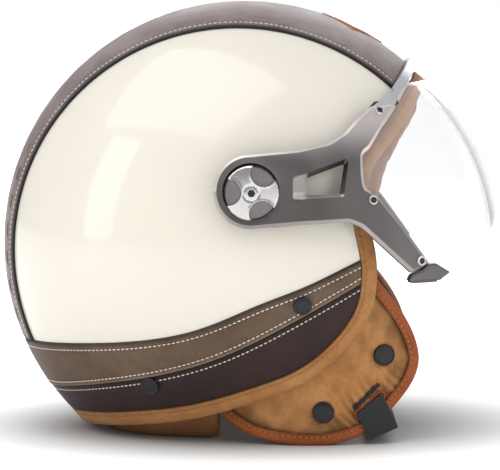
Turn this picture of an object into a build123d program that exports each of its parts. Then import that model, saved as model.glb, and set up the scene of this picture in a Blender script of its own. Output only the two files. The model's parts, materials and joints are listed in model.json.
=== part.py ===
"""Open-face motorcycle helmet with a bubble visor.

The helmet faces +X, its right side is -Y and +Z is up.  The origin is the middle of the
footprint, on the surface that the helmet stands on.  The shell is a body of revolution about
a cross axis (parallel to Y) through the shell centre, so every skin and every lining is a
layer between two such domes, trimmed to an outline that is drawn in side view.
"""

from build123d import *
import os
from math import cos, hypot, radians, sin

# ------------------------------------------------------------------ driving dimensions, mm
shell_radius = 153.0  # shell outside, in side view
shell_half_width = 115.5  # shell outside, across the helmet
shell_wall = 3.5
dome_fullness = 0.565  # handle length of the dome's profile curve; 0.552 is an ellipse
pole_flat = 1.0  # radius of the small flat where a dome meets its axis
leather = 2.0  # strip and bands
glue_line = 0.05

binding_width = 8.5  # how far the edge binding laps over the shell
binding_wrap = 1.8  # leather folded round the shell's edge
binding_proud = 2.2

strip_half_front = 54.0  # half width of the leather strip at the brow
strip_half_rear = 32.0
strip_turn = 40.0  # direction of the strip's widest end, degrees above forward
strip_end_gap = 8.0  # strip end to the binding
piping = 2.0

foam_wall = 27.0
comfort_wall = 7.5
lining_gap = 0.3
roll_depth = 27.0  # padded roll round the face opening, across its thickness
neck_roll_depth = 22.0

visor_sheet = 2.2
arm_thick = 4.5
bar_thick = 2.6
joint_gap = 0.1  # between parts that are screwed together
screw_head = 3.0
screw_shank = 1.5

hub_radius = 22.0
hub_floor = 2.6
hub_rim = 4.7  # rim round the knob
hub_clear = 6.6  # hub back to the shell
knob_radius = 16.4
knob_thick = 4.8
knob_gap = 0.4
scoop_radius = 8.0  # three round finger scoops, cut by the edge of the knob
scoop_offset = 14.0  # scoop centre to the knob's axis
scoop_angle = 58.0  # direction of the first scoop, degrees
socket_radius = 2.6
socket_depth = 3.0
bush_radius = 5.0
bush_clearance = 0.05
bush_flange = 9.0
bush_flange_thick = 1.6
stud_radius = 2.9
stud_clearance = 0.1
washer_thick = 0.5
washer_gap = 0.05
washer_radius = 12.0
base_radius = 14.0

shell_snap = 5.7  # radius
flap_snap = 6.8
snap_height = 2.8
snap_post = 1.9
post_clearance = 0.05

flap_thick = 8.0
flap_bow = 150.0  # plan radius of the flap's outer face
edging_width = 7.0
edging_proud = 1.0
strap_room = 3.0  # between the flap and the cheek pad
pad_thick = 21.0

strap_thick = 1.6
strap_width = 20.0
strap_gap = 0.3
strap_tilt = 21.0  # degrees, front edge high where it crosses under the chin
buckle_across = 35.0  # buckle centre to the left of the middle plane
buckle_wall = 1.0
pin_radius = 1.2
pin_clearance = 0.05

# ------------------------------------------------------------------ proportions
# Every outline is drawn for a shell radius of 153 and a half width of 115.5.
long = shell_radius / 153.0
wide = shell_half_width / 115.5
rear_reach = shell_radius + leather + glue_line
visor_radius = 147.0 * long
visor_half_width = 124.3 * wide
visor_forward = 18.5 * long
visor_drop = 3.0 * long
front_reach = visor_forward + visor_radius
stand_height = 118.5 * long
through = 2 * shell_radius + 2 * shell_half_width

shell_centre = Vector((rear_reach - front_reach) / 2, 0, stand_height)
visor_centre = shell_centre + Vector(visor_forward, 0, -visor_drop)
pivot_centre = shell_centre + Vector(4.0 * long, 0, 40.5 * long)

# Side view, seen from the right: x forward and y up from the shell centre.
side = Plane(origin=shell_centre, x_dir=(1, 0, 0), z_dir=(0, -1, 0))


# ------------------------------------------------------------------ helpers
def drawn(points):
    """Outline points, brought to the size of the shell."""
    return [(x * long, z * long) for x, z in points]


def moved_left(points, amount):
    """The points of a line, each moved to the left of the line's direction."""
    moved = []
    for i, (x, z) in enumerate(points):
        back = points[max(i - 1, 0)]
        ahead = points[min(i + 1, len(points) - 1)]
        run, rise = ahead[0] - back[0], ahead[1] - back[1]
        length = hypot(run, rise)
        moved.append((x - rise / length * amount, z + run / length * amount))
    return moved


def dome(radius, half_width, centre):
    """Solid of revolution about the cross axis through a centre."""
    k = dome_fullness
    with BuildPart() as solid:
        with BuildSketch(Plane(origin=centre, x_dir=(1, 0, 0), z_dir=(0, 0, 1))):
            with BuildLine():
                Bezier(
                    (pole_flat, half_width),
                    (k * radius, half_width),
                    (radius, k * half_width),
                    (radius, 0),
                )
                Bezier(
                    (radius, 0),
                    (radius, -k * half_width),
                    (k * radius, -half_width),
                    (pole_flat, -half_width),
                )
                Polyline(
                    (pole_flat, -half_width), (0, -half_width), (0, half_width),
                    (pole_flat, half_width),
                )
            make_face()
        revolve(axis=Axis(centre, (0, 1, 0)))
    return solid.part


def shell_dome(outward):
    """Dome at a distance outward of the shell's outer face."""
    return dome(shell_radius + outward, shell_half_width + outward, shell_centre)


def visor_dome(outward):
    """Dome at a distance outward of the visor's outer face."""
    return dome(visor_radius + outward, visor_half_width + outward, visor_centre)


def dome_plane(forward, up, hand, radius, half_width, centre):
    """Plane on a dome, facing outward; hand is -1 for the right side and 1 for the left."""
    k = dome_fullness
    x = forward - (centre.X - shell_centre.X)
    z = up - (centre.Z - shell_centre.Z)
    reach = hypot(x, z)
    low, high = 0.0, 1.0
    for _ in range(50):
        t = (low + high) / 2
        start = pole_flat * (1 - t) ** 3
        if start + radius * (3 * (1 - t) ** 2 * t * k + 3 * (1 - t) * t**2 + t**3) < reach:
            low = t
        else:
            high = t
    across = half_width * ((1 - t) ** 3 + 3 * (1 - t) ** 2 * t + 3 * (1 - t) * t**2 * k)
    run = radius * (1 - t) * (k * (1 - 3 * t) + 2 * t) - pole_flat * (1 - t) ** 2
    drop = half_width * t * (2 * (1 - t) - k * (2 - 3 * t))
    slope = hypot(run, drop)
    normal = Vector(drop / slope * x / reach, hand * run / slope, drop / slope * z / reach)
    point = Vector(shell_centre.X + forward, hand * across, shell_centre.Z + up)
    return Plane(origin=point, x_dir=Vector(0, 0, 1).cross(normal), z_dir=normal)


def shell_plane(spot, hand):
    """Plane on the shell's outer face at a spot of the side view."""
    return dome_plane(spot[0], spot[1], hand, shell_radius, shell_half_width, shell_centre)


def visor_plane(spot, hand):
    """Plane on the visor's outer face at a spot of the side view."""
    return dome_plane(spot[0], spot[1], hand, visor_radius, visor_half_width, visor_centre)


def flap_plane(spot, hand):
    """Upright plane on the outer face of an ear flap."""
    run = spot[0] - 40.0 * long
    rise = (flap_bow**2 - run**2) ** 0.5
    across = hand * (rise + 88.5 * wide - flap_bow)
    point = (shell_centre.X + spot[0], across, shell_centre.Z + spot[1])
    normal = Vector(run, hand * rise, 0)
    return Plane(origin=point, x_dir=Vector(0, 0, 1).cross(normal), z_dir=normal)


def slab(curve, corners, amount=None):
    """Solid across the helmet: a smooth curve closed by straight lines, in side view.

    With an amount it only runs from the middle plane to the right."""
    with BuildPart() as solid:
        with BuildSketch(side):
            with BuildLine():
                Spline(*curve)
                Polyline(curve[-1], *corners, curve[0])
            make_face()
        extrude(amount=amount or through, both=amount is None)
    return solid.part


def plate(corners, amount=None):
    """Solid across the helmet with a straight-sided outline in side view."""
    with BuildPart() as solid:
        with BuildSketch(side):
            Polygon(*corners, align=None)
        extrude(amount=amount or through, both=amount is None)
    return solid.part


def bar_across(centre, radius, near, far, hand):
    """Round bar parallel to the cross axis, between two distances from the middle plane."""
    start = Plane(origin=(centre.X, hand * near, centre.Z), x_dir=(1, 0, 0), z_dir=(0, hand, 0))
    with BuildPart() as solid:
        with BuildSketch(start):
            Circle(radius)
        extrude(amount=far - near)
    return solid.part


def pin_on(plane, radius, low, high):
    """Round pin square to a plane."""
    with BuildPart() as solid:
        with BuildSketch(plane.offset(low)):
            Circle(radius)
        extrude(amount=high - low)
    return solid.part


def button(plane, radius, height, post, depth):
    """Domed button on a plane with a post below it."""
    profile = Plane(origin=plane.origin, x_dir=plane.x_dir, z_dir=-plane.y_dir)
    rim = 0.35 * height
    sphere = (radius**2 + (height - rim) ** 2) / (2 * (height - rim))
    half_way = 0.6 * radius
    with BuildPart() as solid:
        with BuildSketch(profile):
            with BuildLine():
                Polyline(
                    (0, height), (0, -depth), (post, -depth), (post, 0), (radius, 0),
                    (radius, rim),
                )
                ThreePointArc(
                    (radius, rim),
                    (half_way, height - sphere + (sphere**2 - half_way**2) ** 0.5),
                    (0, height),
                )
            make_face()
        revolve(axis=Axis(plane.origin, plane.z_dir))
    return solid.part


def plan_arc(outer, depth, hand):
    """Upright wall that bows in plan like the ear flaps, as high as the helmet."""
    centre = (shell_centre.X + 40.0 * long, hand * (88.5 * wide - flap_bow))
    with BuildPart() as solid:
        with BuildSketch(Plane.XY):
            with Locations(centre):
                Circle(outer)
                Circle(outer - depth, mode=Mode.SUBTRACT)
        extrude(amount=2 * shell_radius)
    return solid.part


# ------------------------------------------------------------------ outlines in side view
# Edge of the shell: along the neck, round the jaw corner, up the temple, out to the brow.
shell_edge = drawn([
    (-175, -124), (-107, -113), (-68, -107), (-30, -100), (11, -87), (36, -76.5), (53, -64),
    (69, -46), (76.5, -31), (79, -15), (78.5, 0), (75.5, 15), (73, 31), (74, 46), (79, 57.5),
    (94, 75.5), (107, 94), (125, 117),
])
# Top edge of the leather bands, and the seam between them.
band_top = drawn([
    (-175, -62), (-141, -60), (-111, -57), (-69, -52.5), (-28, -43.5), (10, -27.5),
    (36, -17.5), (62, -5.5), (100, 11),
])
band_seam = drawn([
    (-175, -94), (-125, -89), (-96, -83), (-59, -75), (-18, -62.5), (10, -49.5), (36, -35.5),
    (62, -21), (100, 1),
])
# Lower and front edge of the foam, and the front of the padded roll.
foam_edge = drawn([
    (-175, -94), (-107, -84), (-68, -74), (-30, -62), (11, -52), (40, -40), (57, -22),
    (61, 0), (57, 31), (60, 52), (80, 74), (95, 95), (112, 120),
])
roll_front = drawn([
    (77.5, -14), (79, 10), (82, 34), (91, 60), (102, 77), (110, 89), (126, 113),
])
# Free edge of the ear flap, from its front top to its rear top.
flap_edge = drawn([
    (77, -9), (88, -24), (97, -36), (103, -46.5), (107.5, -59), (108.4, -67.5), (106, -77),
    (100, -86.7), (92, -96), (75, -111), (62.5, -115.6), (50, -118.6), (31, -118.6),
    (19, -116.4), (6, -113.4), (-6.7, -106.8), (-15, -99), (-17, -92),
])
flap_root = drawn([(-2, -87), (20, -79), (50, -57), (64, -12)])
upper_corners = drawn([(190, 260), (-260, 260), (-260, -124)])
lower_corners = drawn([(100, -200), (-175, -200)])

shell_slab = slab(shell_edge, upper_corners)
wrap_slab = slab(moved_left(shell_edge, -binding_wrap), upper_corners)
trim_slab = slab(moved_left(shell_edge, binding_width), upper_corners)
skin_slab = slab(moved_left(shell_edge, binding_width + glue_line), upper_corners)
strip_slab = slab(moved_left(shell_edge, binding_width + strip_end_gap), upper_corners)
foam_slab = slab(foam_edge, upper_corners)
band_slab = slab(band_top, lower_corners)
lower_slab = slab(band_seam, lower_corners)
above_band = slab(moved_left(band_top, glue_line), upper_corners)
above_seam = slab(moved_left(band_seam, glue_line), upper_corners)

# ------------------------------------------------------------------ spots for the fastenings
snap_spots = drawn([(-58, -83), (34.7, -28.3)])
screw_spots = drawn([(80.5, 86), (76, 34.7), (105, -2)])
hands = (-1, 1)
pivot_shell = shell_plane(drawn([(4.0, 40.5)])[0], 1).origin.Y
hub_back = pivot_shell + hub_clear
hub_face = hub_back + hub_floor + hub_rim
knob_back = hub_back + hub_floor + knob_gap
bush_top = hub_back + hub_floor
base_face = hub_back - washer_thick - 2 * washer_gap

snap_holes = [
    pin_on(shell_plane(spot, hand), snap_post + post_clearance, -2 * shell_wall, 3 * leather)
    for spot in snap_spots
    for hand in hands
]
bush_holes = [
    bar_across(pivot_centre, bush_radius + bush_clearance, 0.6 * pivot_shell, through, hand)
    for hand in hands
]
screw_holes = [
    pin_on(visor_plane(spot, hand), screw_shank + joint_gap, -4 * visor_sheet, 3 * arm_thick)
    for spot in screw_spots
    for hand in hands
]

# ------------------------------------------------------------------ shell and its skins
shell_outside = shell_dome(0)
shell_inside = shell_dome(-shell_wall)
skin_outside = shell_dome(leather + glue_line)
skin_inside = shell_dome(glue_line)

with BuildPart() as outer_shell:
    add(shell_outside)
    add(shell_inside, mode=Mode.SUBTRACT)
    add(shell_slab, mode=Mode.INTERSECT)
    add(snap_holes + bush_holes, mode=Mode.SUBTRACT)
outer_shell.part.label = "outer_shell"

# The strip tapers evenly from the brow to the back of the head.
strip_plane = Plane(
    origin=shell_centre,
    x_dir=(cos(radians(strip_turn)), 0, sin(radians(strip_turn))),
    z_dir=(-sin(radians(strip_turn)), 0, cos(radians(strip_turn))),
)


def strip_wedge(grow):
    """Wedge that covers the strip, with its long edges moved outward."""
    front, rear = strip_half_front * wide + grow, strip_half_rear * wide + grow
    steepness = (front - rear) / 2
    with BuildPart() as solid:
        with BuildSketch(strip_plane):
            Polygon(
                (-2 * shell_radius, front - 3 * steepness),
                (2 * shell_radius, front + steepness),
                (2 * shell_radius, -front - steepness),
                (-2 * shell_radius, 3 * steepness - front),
                align=None,
            )
        extrude(amount=through, both=True)
    return solid.part


strip_cover = strip_wedge(0)
piping_cover = strip_wedge(piping)
piping_seat = strip_wedge(glue_line)
piping_outside = shell_dome(leather + 0.6)

with BuildPart() as center_strip:
    add(skin_outside)
    add(skin_inside, mode=Mode.SUBTRACT)
    add(strip_cover, mode=Mode.INTERSECT)
    add(strip_slab, mode=Mode.INTERSECT)
    add(above_band, mode=Mode.INTERSECT)
center_strip.part.label = "center_strip"

with BuildPart() as strip_piping:
    add(piping_outside)
    add(skin_inside, mode=Mode.SUBTRACT)
    add(piping_cover, mode=Mode.INTERSECT)
    add(piping_seat, mode=Mode.SUBTRACT)
    add(strip_slab, mode=Mode.INTERSECT)
    add(above_band, mode=Mode.INTERSECT)
strip_piping.part.label = "strip_piping"

with BuildPart() as upper_band:
    add(skin_outside)
    add(skin_inside, mode=Mode.SUBTRACT)
    add(band_slab, mode=Mode.INTERSECT)
    add(above_seam, mode=Mode.INTERSECT)
    add(skin_slab, mode=Mode.INTERSECT)
    add(snap_holes, mode=Mode.SUBTRACT)
upper_band.part.label = "upper_band"

with BuildPart() as lower_band:
    add(skin_outside)
    add(skin_inside, mode=Mode.SUBTRACT)
    add(lower_slab, mode=Mode.INTERSECT)
    add(skin_slab, mode=Mode.INTERSECT)
    add(snap_holes, mode=Mode.SUBTRACT)
lower_band.part.label = "lower_band"

# The binding is folded over the edge and laps on both faces of the shell.
binding_outside = shell_dome(binding_proud)
binding_inside = shell_dome(-shell_wall - binding_wrap)
seat_outside = shell_dome(glue_line)
seat_inside = shell_dome(-shell_wall - glue_line)
seat_slab = slab(moved_left(shell_edge, -glue_line), upper_corners)

with BuildPart() as binding_seat:
    add(seat_outside)
    add(seat_inside, mode=Mode.SUBTRACT)
    add(seat_slab, mode=Mode.INTERSECT)

with BuildPart() as rim_binding:
    add(binding_outside)
    add(binding_inside, mode=Mode.SUBTRACT)
    add(wrap_slab, mode=Mode.INTERSECT)
    add(trim_slab, mode=Mode.SUBTRACT)
    add(binding_seat.part, mode=Mode.SUBTRACT)
rim_binding.part.label = "rim_binding"

snap_solids = [
    button(
        shell_plane(spot, hand).offset(leather + 2 * glue_line),
        shell_snap,
        snap_height,
        snap_post,
        leather + shell_wall,
    )
    for spot in snap_spots
    for hand in hands
]
with BuildPart() as shell_snaps:
    add(snap_solids)
shell_snaps.part.label = "shell_snaps"

# ------------------------------------------------------------------ linings
foam_outside = shell_dome(-shell_wall - 0.1)
foam_inside = shell_dome(-shell_wall - 0.1 - foam_wall)
comfort_outside = shell_dome(-shell_wall - 0.1 - foam_wall - lining_gap)
comfort_inside = shell_dome(-shell_wall - 0.1 - foam_wall - lining_gap - comfort_wall)
comfort_slab = slab(moved_left(foam_edge, 2.0), upper_corners)
roll_outside = shell_dome(-shell_wall - binding_wrap - lining_gap)
roll_inside = shell_dome(-shell_wall - binding_wrap - lining_gap - roll_depth)
neck_inside = shell_dome(-shell_wall - binding_wrap - lining_gap - neck_roll_depth)
roll_slab = slab(roll_front, drawn([(190, 260), (-20, 260), (-20, -14)]))
foam_seat = slab(moved_left(foam_edge, -lining_gap), upper_corners)
above_flap = plate(drawn([(-260, -6), (260, -6), (260, 260), (-260, 260)]))
bush_pockets = [
    bar_across(
        pivot_centre, bush_flange + 0.4, pivot_shell - shell_wall - bush_flange_thick - 2.4,
        through, hand,
    )
    for hand in hands
]

with BuildPart() as impact_liner:
    add(foam_outside)
    add(foam_inside, mode=Mode.SUBTRACT)
    add(foam_slab, mode=Mode.INTERSECT)
    add(bush_pockets, mode=Mode.SUBTRACT)
impact_liner.part.label = "impact_liner"

with BuildPart() as comfort_liner:
    add(comfort_outside)
    add(comfort_inside, mode=Mode.SUBTRACT)
    add(comfort_slab, mode=Mode.INTERSECT)
comfort_liner.part.label = "comfort_liner"

with BuildPart() as face_roll:
    add(roll_outside)
    add(roll_inside, mode=Mode.SUBTRACT)
    add(roll_slab, mode=Mode.INTERSECT)
    add(above_flap, mode=Mode.INTERSECT)
    add(foam_seat, mode=Mode.SUBTRACT)
face_roll.part.label = "face_roll"

neck_slab = plate(drawn([(-260, -118.5), (-24, -118.5), (-24, 60), (-260, 60)]))
with BuildPart() as neck_roll:
    add(roll_outside)
    add(neck_inside, mode=Mode.SUBTRACT)
    add(neck_slab, mode=Mode.INTERSECT)
    add(foam_seat, mode=Mode.SUBTRACT)
neck_roll.part.label = "neck_roll"


# ------------------------------------------------------------------ ear flaps and cheek pads
floor_up = plate(drawn([(-260, -118.5), (260, -118.5), (260, 260), (-260, 260)]))
flap_snap_spots = drawn([(85.8, -62.7), (48.3, -97.5)])
flap_outline = slab(flap_edge, flap_root, through)
flap_inset = slab(moved_left(flap_edge, -1.2), flap_root, through)
flap_channel = slab(moved_left(flap_edge, glue_line - 1.2), flap_root, through)
flap_inner = slab(moved_left(flap_edge, -edging_width), drawn([(0, -74), (24, -64), (48, -40)]), through)
flap_wall = plan_arc(flap_bow, flap_thick, -1)
flap_wall_seat = plan_arc(flap_bow + glue_line, flap_thick + 2 * glue_line, -1)
edging_wall = plan_arc(flap_bow + edging_proud, flap_thick + 2 * edging_proud, -1)

# The strap comes through a slit in the flap, hangs outside it and folds under the chin.
slit_rear, slit_front, fold_rear, fold_front = drawn(
    [(69.6, -100.0), (85.3, -87.5), (76.7, -113.7), (94.6, -106.8)]
)
slit_length = hypot(slit_front[0] - slit_rear[0], slit_front[1] - slit_rear[1])
along = ((slit_front[0] - slit_rear[0]) / slit_length, (slit_front[1] - slit_rear[1]) / slit_length)
upward = (-along[1], along[0])


def slit_outline(spare, half_thick, rise):
    """Corners of a rectangle on the slit, with its upper side raised."""
    corners = []
    for end, step, lift in (
        (slit_rear, -spare, -half_thick), (slit_front, spare, -half_thick),
        (slit_front, spare, rise), (slit_rear, -spare, rise),
    ):
        corners.append((
            end[0] + step * along[0] + lift * upward[0],
            end[1] + step * along[1] + lift * upward[1],
        ))
    return corners


slit_cut = plate(slit_outline(1.0, strap_thick, strap_thick), through)
flap_holes = [
    pin_on(flap_plane(spot, -1), snap_post + post_clearance, -2 * flap_thick, flap_thick)
    for spot in flap_snap_spots
]

with BuildPart() as ear_flap_right:
    add(flap_wall)
    add(flap_inset, mode=Mode.INTERSECT)
    add(floor_up, mode=Mode.INTERSECT)
    add([slit_cut] + flap_holes, mode=Mode.SUBTRACT)
ear_flap_right.part.label = "ear_flap_right"

with BuildPart() as edging_channel:
    add(flap_wall_seat)
    add(flap_channel, mode=Mode.INTERSECT)

with BuildPart() as flap_edging_right:
    add(edging_wall)
    add(flap_outline, mode=Mode.INTERSECT)
    add(floor_up, mode=Mode.INTERSECT)
    add([flap_inner, edging_channel.part], mode=Mode.SUBTRACT)
flap_edging_right.part.label = "flap_edging_right"

with BuildPart() as flap_snaps:
    for spot in flap_snap_spots:
        for hand in hands:
            add(button(
                flap_plane(spot, hand).offset(glue_line), flap_snap, snap_height, snap_post,
                flap_thick,
            ))
flap_snaps.part.label = "flap_snaps"

pad_edge = drawn([
    (66, -12), (80, -20), (88, -40), (88, -62), (78, -84), (58, -99), (30, -106), (4, -103),
    (-12, -94),
])
pad_slab = slab(pad_edge, drawn([(-16, -60), (10, -44), (50, -12)]), through)
outside_foam = slab(moved_left(foam_edge, -1.0), drawn([(200, 120), (200, -260), (-175, -260)]))
pad_wall = plan_arc(flap_bow - flap_thick - strap_room, pad_thick, -1)

with BuildPart() as cheek_pad_right:
    add(pad_wall)
    add(pad_slab, mode=Mode.INTERSECT)
    add(outside_foam, mode=Mode.INTERSECT)
cheek_pad_right.part.label = "cheek_pad_right"

# ------------------------------------------------------------------ chin strap
strap_outside = flap_bow + edging_proud + strap_gap + strap_thick
strap_inside = flap_bow - flap_thick - strap_gap
hang_wall = plan_arc(strap_outside, strap_thick, -1)
back_wall = plan_arc(strap_inside, strap_thick, -1)
slit_wall = plan_arc(strap_outside, strap_outside - strap_inside + strap_thick, -1)
hang_slab = plate([slit_rear, slit_front, fold_front, fold_rear], through)
slit_slab = plate(slit_outline(0, strap_thick / 2, strap_thick / 2), through)
strap_run = 62.0 * long  # slit to the strap's upper end
anchor_spot = (
    (slit_rear[0] + slit_front[0]) / 2 + (strap_run - 6) * upward[0],
    (slit_rear[1] + slit_front[1]) / 2 + (strap_run - 6) * upward[1],
)
back_slab = plate(slit_outline(0, strap_thick / 2, strap_run), through)
anchor_centre = shell_centre + Vector(anchor_spot[0], 0, anchor_spot[1])
anchor_hole = bar_across(anchor_centre, 2.6, 0.5 * shell_half_width, through, -1)

# The part that crosses is level across the helmet, with its front edge high.
cross_angle = radians(strap_tilt)
sink = (strap_thick * sin(cross_angle), -strap_thick * cos(cross_angle))
cross_corners = [
    fold_rear, fold_front, (fold_front[0] + sink[0], fold_front[1] + sink[1]),
    (fold_rear[0] + sink[0], fold_rear[1] + sink[1]),
]
cross_plate = plate(cross_corners)
cross_round = plan_arc(strap_outside, strap_outside - strap_thick, -1)

# Buckle frame: x towards the right side, y towards the strap's front edge, z off its upper face.
buckle_plane = Plane(
    origin=(
        shell_centre.X + (fold_rear[0] + fold_front[0]) / 2,
        buckle_across * wide,
        shell_centre.Z + (fold_rear[1] + fold_front[1]) / 2,
    ),
    x_dir=(0, -1, 0),
    z_dir=(-sin(cross_angle), 0, cos(cross_angle)),
)


def buckle_block(x_low, x_high, half, z_low, z_high):
    """Block in the buckle's frame, as wide on both sides of its long axis."""
    with BuildPart() as solid:
        with BuildSketch(buckle_plane.offset(z_low)):
            with Locations(((x_low + x_high) / 2, 0)):
                Rectangle(x_high - x_low, 2 * half)
        extrude(amount=z_high - z_low)
    return solid.part


def buckle_rod(x, z, radius, half):
    """Round rod across the buckle."""
    spot = buckle_plane.from_local_coords((x, -half, z))
    with BuildPart() as solid:
        with BuildSketch(Plane(origin=spot, x_dir=buckle_plane.x_dir, z_dir=buckle_plane.y_dir)):
            Circle(radius)
        extrude(amount=2 * half)
    return solid.part


right_room = buckle_block(28, through, through, -through, through)
left_room = buckle_block(-through, -21.5, through, -through, through)
rivet_spots = [(31.5, 5.5), (31.5, -5.5), (-29.0, 5.5), (-29.0, -5.5)]
rivet_planes = [
    Plane(
        origin=buckle_plane.from_local_coords((x, y, buckle_wall + 2 * strap_gap)),
        x_dir=buckle_plane.x_dir,
        z_dir=buckle_plane.z_dir,
    )
    for x, y in rivet_spots
]
rivet_holes = [pin_on(plane, 1.3, -6.0, 6.0) for plane in rivet_planes]

with BuildPart() as half_strap:
    add(back_wall)
    add(back_slab, mode=Mode.INTERSECT)
    add(anchor_hole, mode=Mode.SUBTRACT)
with BuildPart() as strap_passage:
    add(slit_wall)
    add(slit_slab, mode=Mode.INTERSECT)
with BuildPart() as strap_hang:
    add(hang_wall)
    add(hang_slab, mode=Mode.INTERSECT)
with BuildPart() as strap_cross:
    add(cross_round)
    add(cross_plate, mode=Mode.INTERSECT)
with BuildPart() as strap_side:
    add([half_strap.part, strap_passage.part, strap_hang.part, strap_cross.part])

with BuildPart() as strap_right:
    add(strap_side.part)
    add(right_room, mode=Mode.INTERSECT)
    add(rivet_holes, mode=Mode.SUBTRACT)
strap_right.part.label = "strap_right"

with BuildPart() as strap_left:
    mirror(strap_side.part, about=Plane.XZ)
    add(left_room, mode=Mode.INTERSECT)
    add(rivet_holes, mode=Mode.SUBTRACT)
strap_left.part.label = "strap_left"

# A post carries each strap from the inside of the shell.
strap_face = 88.5 * wide - flap_bow + strap_inside
with BuildPart() as post_right:
    add(bar_across(anchor_centre, 2.5, strap_face - strap_thick, through, -1))
    add(bar_across(anchor_centre, 4.5, strap_face + 0.2, through, -1))
    add(shell_dome(-shell_wall - glue_line), mode=Mode.INTERSECT)
with BuildPart() as strap_posts:
    add(post_right.part)
    mirror(post_right.part, about=Plane.XZ)
strap_posts.part.label = "strap_posts"

# ------------------------------------------------------------------ buckle
# Lengths run along the strap from the buckle's middle; heights are above the strap.
buckle_half = strap_width / 2 + 0.6
buckle_front = 16.0
buckle_rear = 20.8
tail_end = 34.0  # end of the plate that the fixed strap is riveted to
cheek_length = 36.0
cheek_height = 6.2
tongue_start = -6.0
tongue_end = 36.0
tooth_pitch = 3.0
tooth_count = 5
pin_x, pin_z = -11.0, 3.6
barrel_radius = 2.3
lever_end = 22.5
lever_low, lever_high = 4.6, 5.9
pawl_start, pawl_end = -5.6, -4.2
spring_radius = 2.1
tongue_top = buckle_wall + strap_gap / 3

with BuildPart() as buckle_body:
    add(buckle_block(-buckle_rear, buckle_front, buckle_half, -buckle_wall - 0.1, -0.1))
    for edge in (-1, 1):
        with BuildSketch(buckle_plane.offset(-buckle_wall - 0.1)):
            with Locations((-2, edge * (buckle_half - buckle_wall / 2))):
                Rectangle(cheek_length, buckle_wall)
        extrude(amount=buckle_wall + cheek_height)
    add(buckle_block(
        -buckle_rear, buckle_wall - buckle_rear, buckle_half, -buckle_wall - 0.1, buckle_wall + 0.1
    ))
    add(buckle_block(-tail_end, buckle_wall - buckle_rear, buckle_half, 0.1, buckle_wall + 0.1))
    add(buckle_rod(pin_x, pin_z, pin_radius + pin_clearance, strap_width), mode=Mode.SUBTRACT)
    add(rivet_holes, mode=Mode.SUBTRACT)
buckle_body.part.label = "buckle_body"

with BuildPart() as buckle_tongue:
    add(buckle_block(tongue_start, tongue_end, buckle_half - buckle_wall - 0.4, 0.1, tongue_top))
    for step in range(tooth_count):
        ridge = buckle_plane.from_local_coords((tooth_pitch * step - 0.5, 0, tongue_top))
        with BuildSketch(Plane(origin=ridge, x_dir=buckle_plane.x_dir, z_dir=buckle_plane.y_dir)):
            Polygon((-1, 0), (1, 0), (-1, -0.8), align=None)
        extrude(amount=8, both=True)
    add(rivet_holes, mode=Mode.SUBTRACT)
buckle_tongue.part.label = "buckle_tongue"

with BuildPart() as buckle_pin:
    add(buckle_rod(pin_x, pin_z, pin_radius, buckle_half + 0.4))
buckle_pin.part.label = "buckle_pin"

lever_half = buckle_half - buckle_wall - 0.4
with BuildPart() as buckle_lever:
    add(buckle_rod(pin_x, pin_z, barrel_radius, lever_half))
    add(buckle_block(pin_x, lever_end, lever_half, lever_low, lever_high))
    add(buckle_block(pawl_start, pawl_end, 6.0, tongue_top + 0.3, lever_low + 0.4))
    add(buckle_rod(pin_x, pin_z, pin_radius + pin_clearance, strap_width), mode=Mode.SUBTRACT)
    add(buckle_block(pin_x - 3, pin_x + 3, 3.0, 0, cheek_height), mode=Mode.SUBTRACT)
buckle_lever.part.label = "buckle_lever"

with BuildPart() as buckle_spring:
    add(buckle_rod(pin_x, pin_z, spring_radius, 2.4))
    add(buckle_block(pin_x - spring_radius, pin_x - 1.5, 0.4, 0.0, pin_z))
    add(buckle_rod(pin_x, pin_z, pin_radius + 0.2, strap_width), mode=Mode.SUBTRACT)
buckle_spring.part.label = "buckle_spring"

with BuildPart() as strap_rivets:
    for plane in rivet_planes:
        add(button(plane.offset(-strap_gap), 2.0, 0.7, 1.2, strap_thick + buckle_wall + 0.3))
strap_rivets.part.label = "strap_rivets"

# ------------------------------------------------------------------ visor
visor_outside = visor_dome(0)
visor_inside = visor_dome(-visor_sheet)
arm_outside = visor_dome(joint_gap + arm_thick)
arm_inside = visor_dome(joint_gap)
bar_outside = visor_dome(joint_gap + bar_thick)

shield_corners = drawn([
    (96, 101.8), (126, 100.4), (190, 93), (190, 12.6), (162, 6), (104, -7.8), (92, 1), (80, 13),
    (72, 24), (68, 34), (65.5, 44), (65.5, 66), (70, 80), (79, 89.3),
])
arm_corners = drawn([
    (0, 62.4), (31, 65), (50, 68.6), (59.5, 74), (67, 82), (76, 89.4), (91.9, 90.6), (83, 77.7),
    (74.7, 65), (70.4, 61.7), (70.8, 49.5), (71.8, 42), (80, 37), (93, 21), (111, -4),
    (100.4, -9.6), (87.5, 2.5), (77, 12.3), (69.6, 19.2), (62, 22.5), (35, 21.3), (4, 18.7),
])
window_corners = drawn([(37, 49), (60, 57), (57, 39), (37, 38.8)])
bevel_corners = drawn([(29, 48), (61.4, 58.8), (58, 37.6), (29, 36)])
bar_corners = drawn([(90.9, 101.6), (108.8, 123.4), (113.4, 119.6), (95.5, 98.2)])
tip_corners = drawn([(78.6, 91.4), (98.0, 104.6), (92.8, 92.0)])
tab_corners = drawn([
    (97.8, -13.7), (99.9, -10.1), (107, -7.4), (111.5, -3.2), (116, -3), (124.7, -10.5),
    (117, -15.5), (99.5, -15.4),
])

with BuildPart() as visor_shield:
    add(visor_outside)
    add(visor_inside, mode=Mode.SUBTRACT)
    add(plate(shield_corners), mode=Mode.INTERSECT)
    add(screw_holes, mode=Mode.SUBTRACT)
visor_shield.part.label = "visor_shield"

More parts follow.
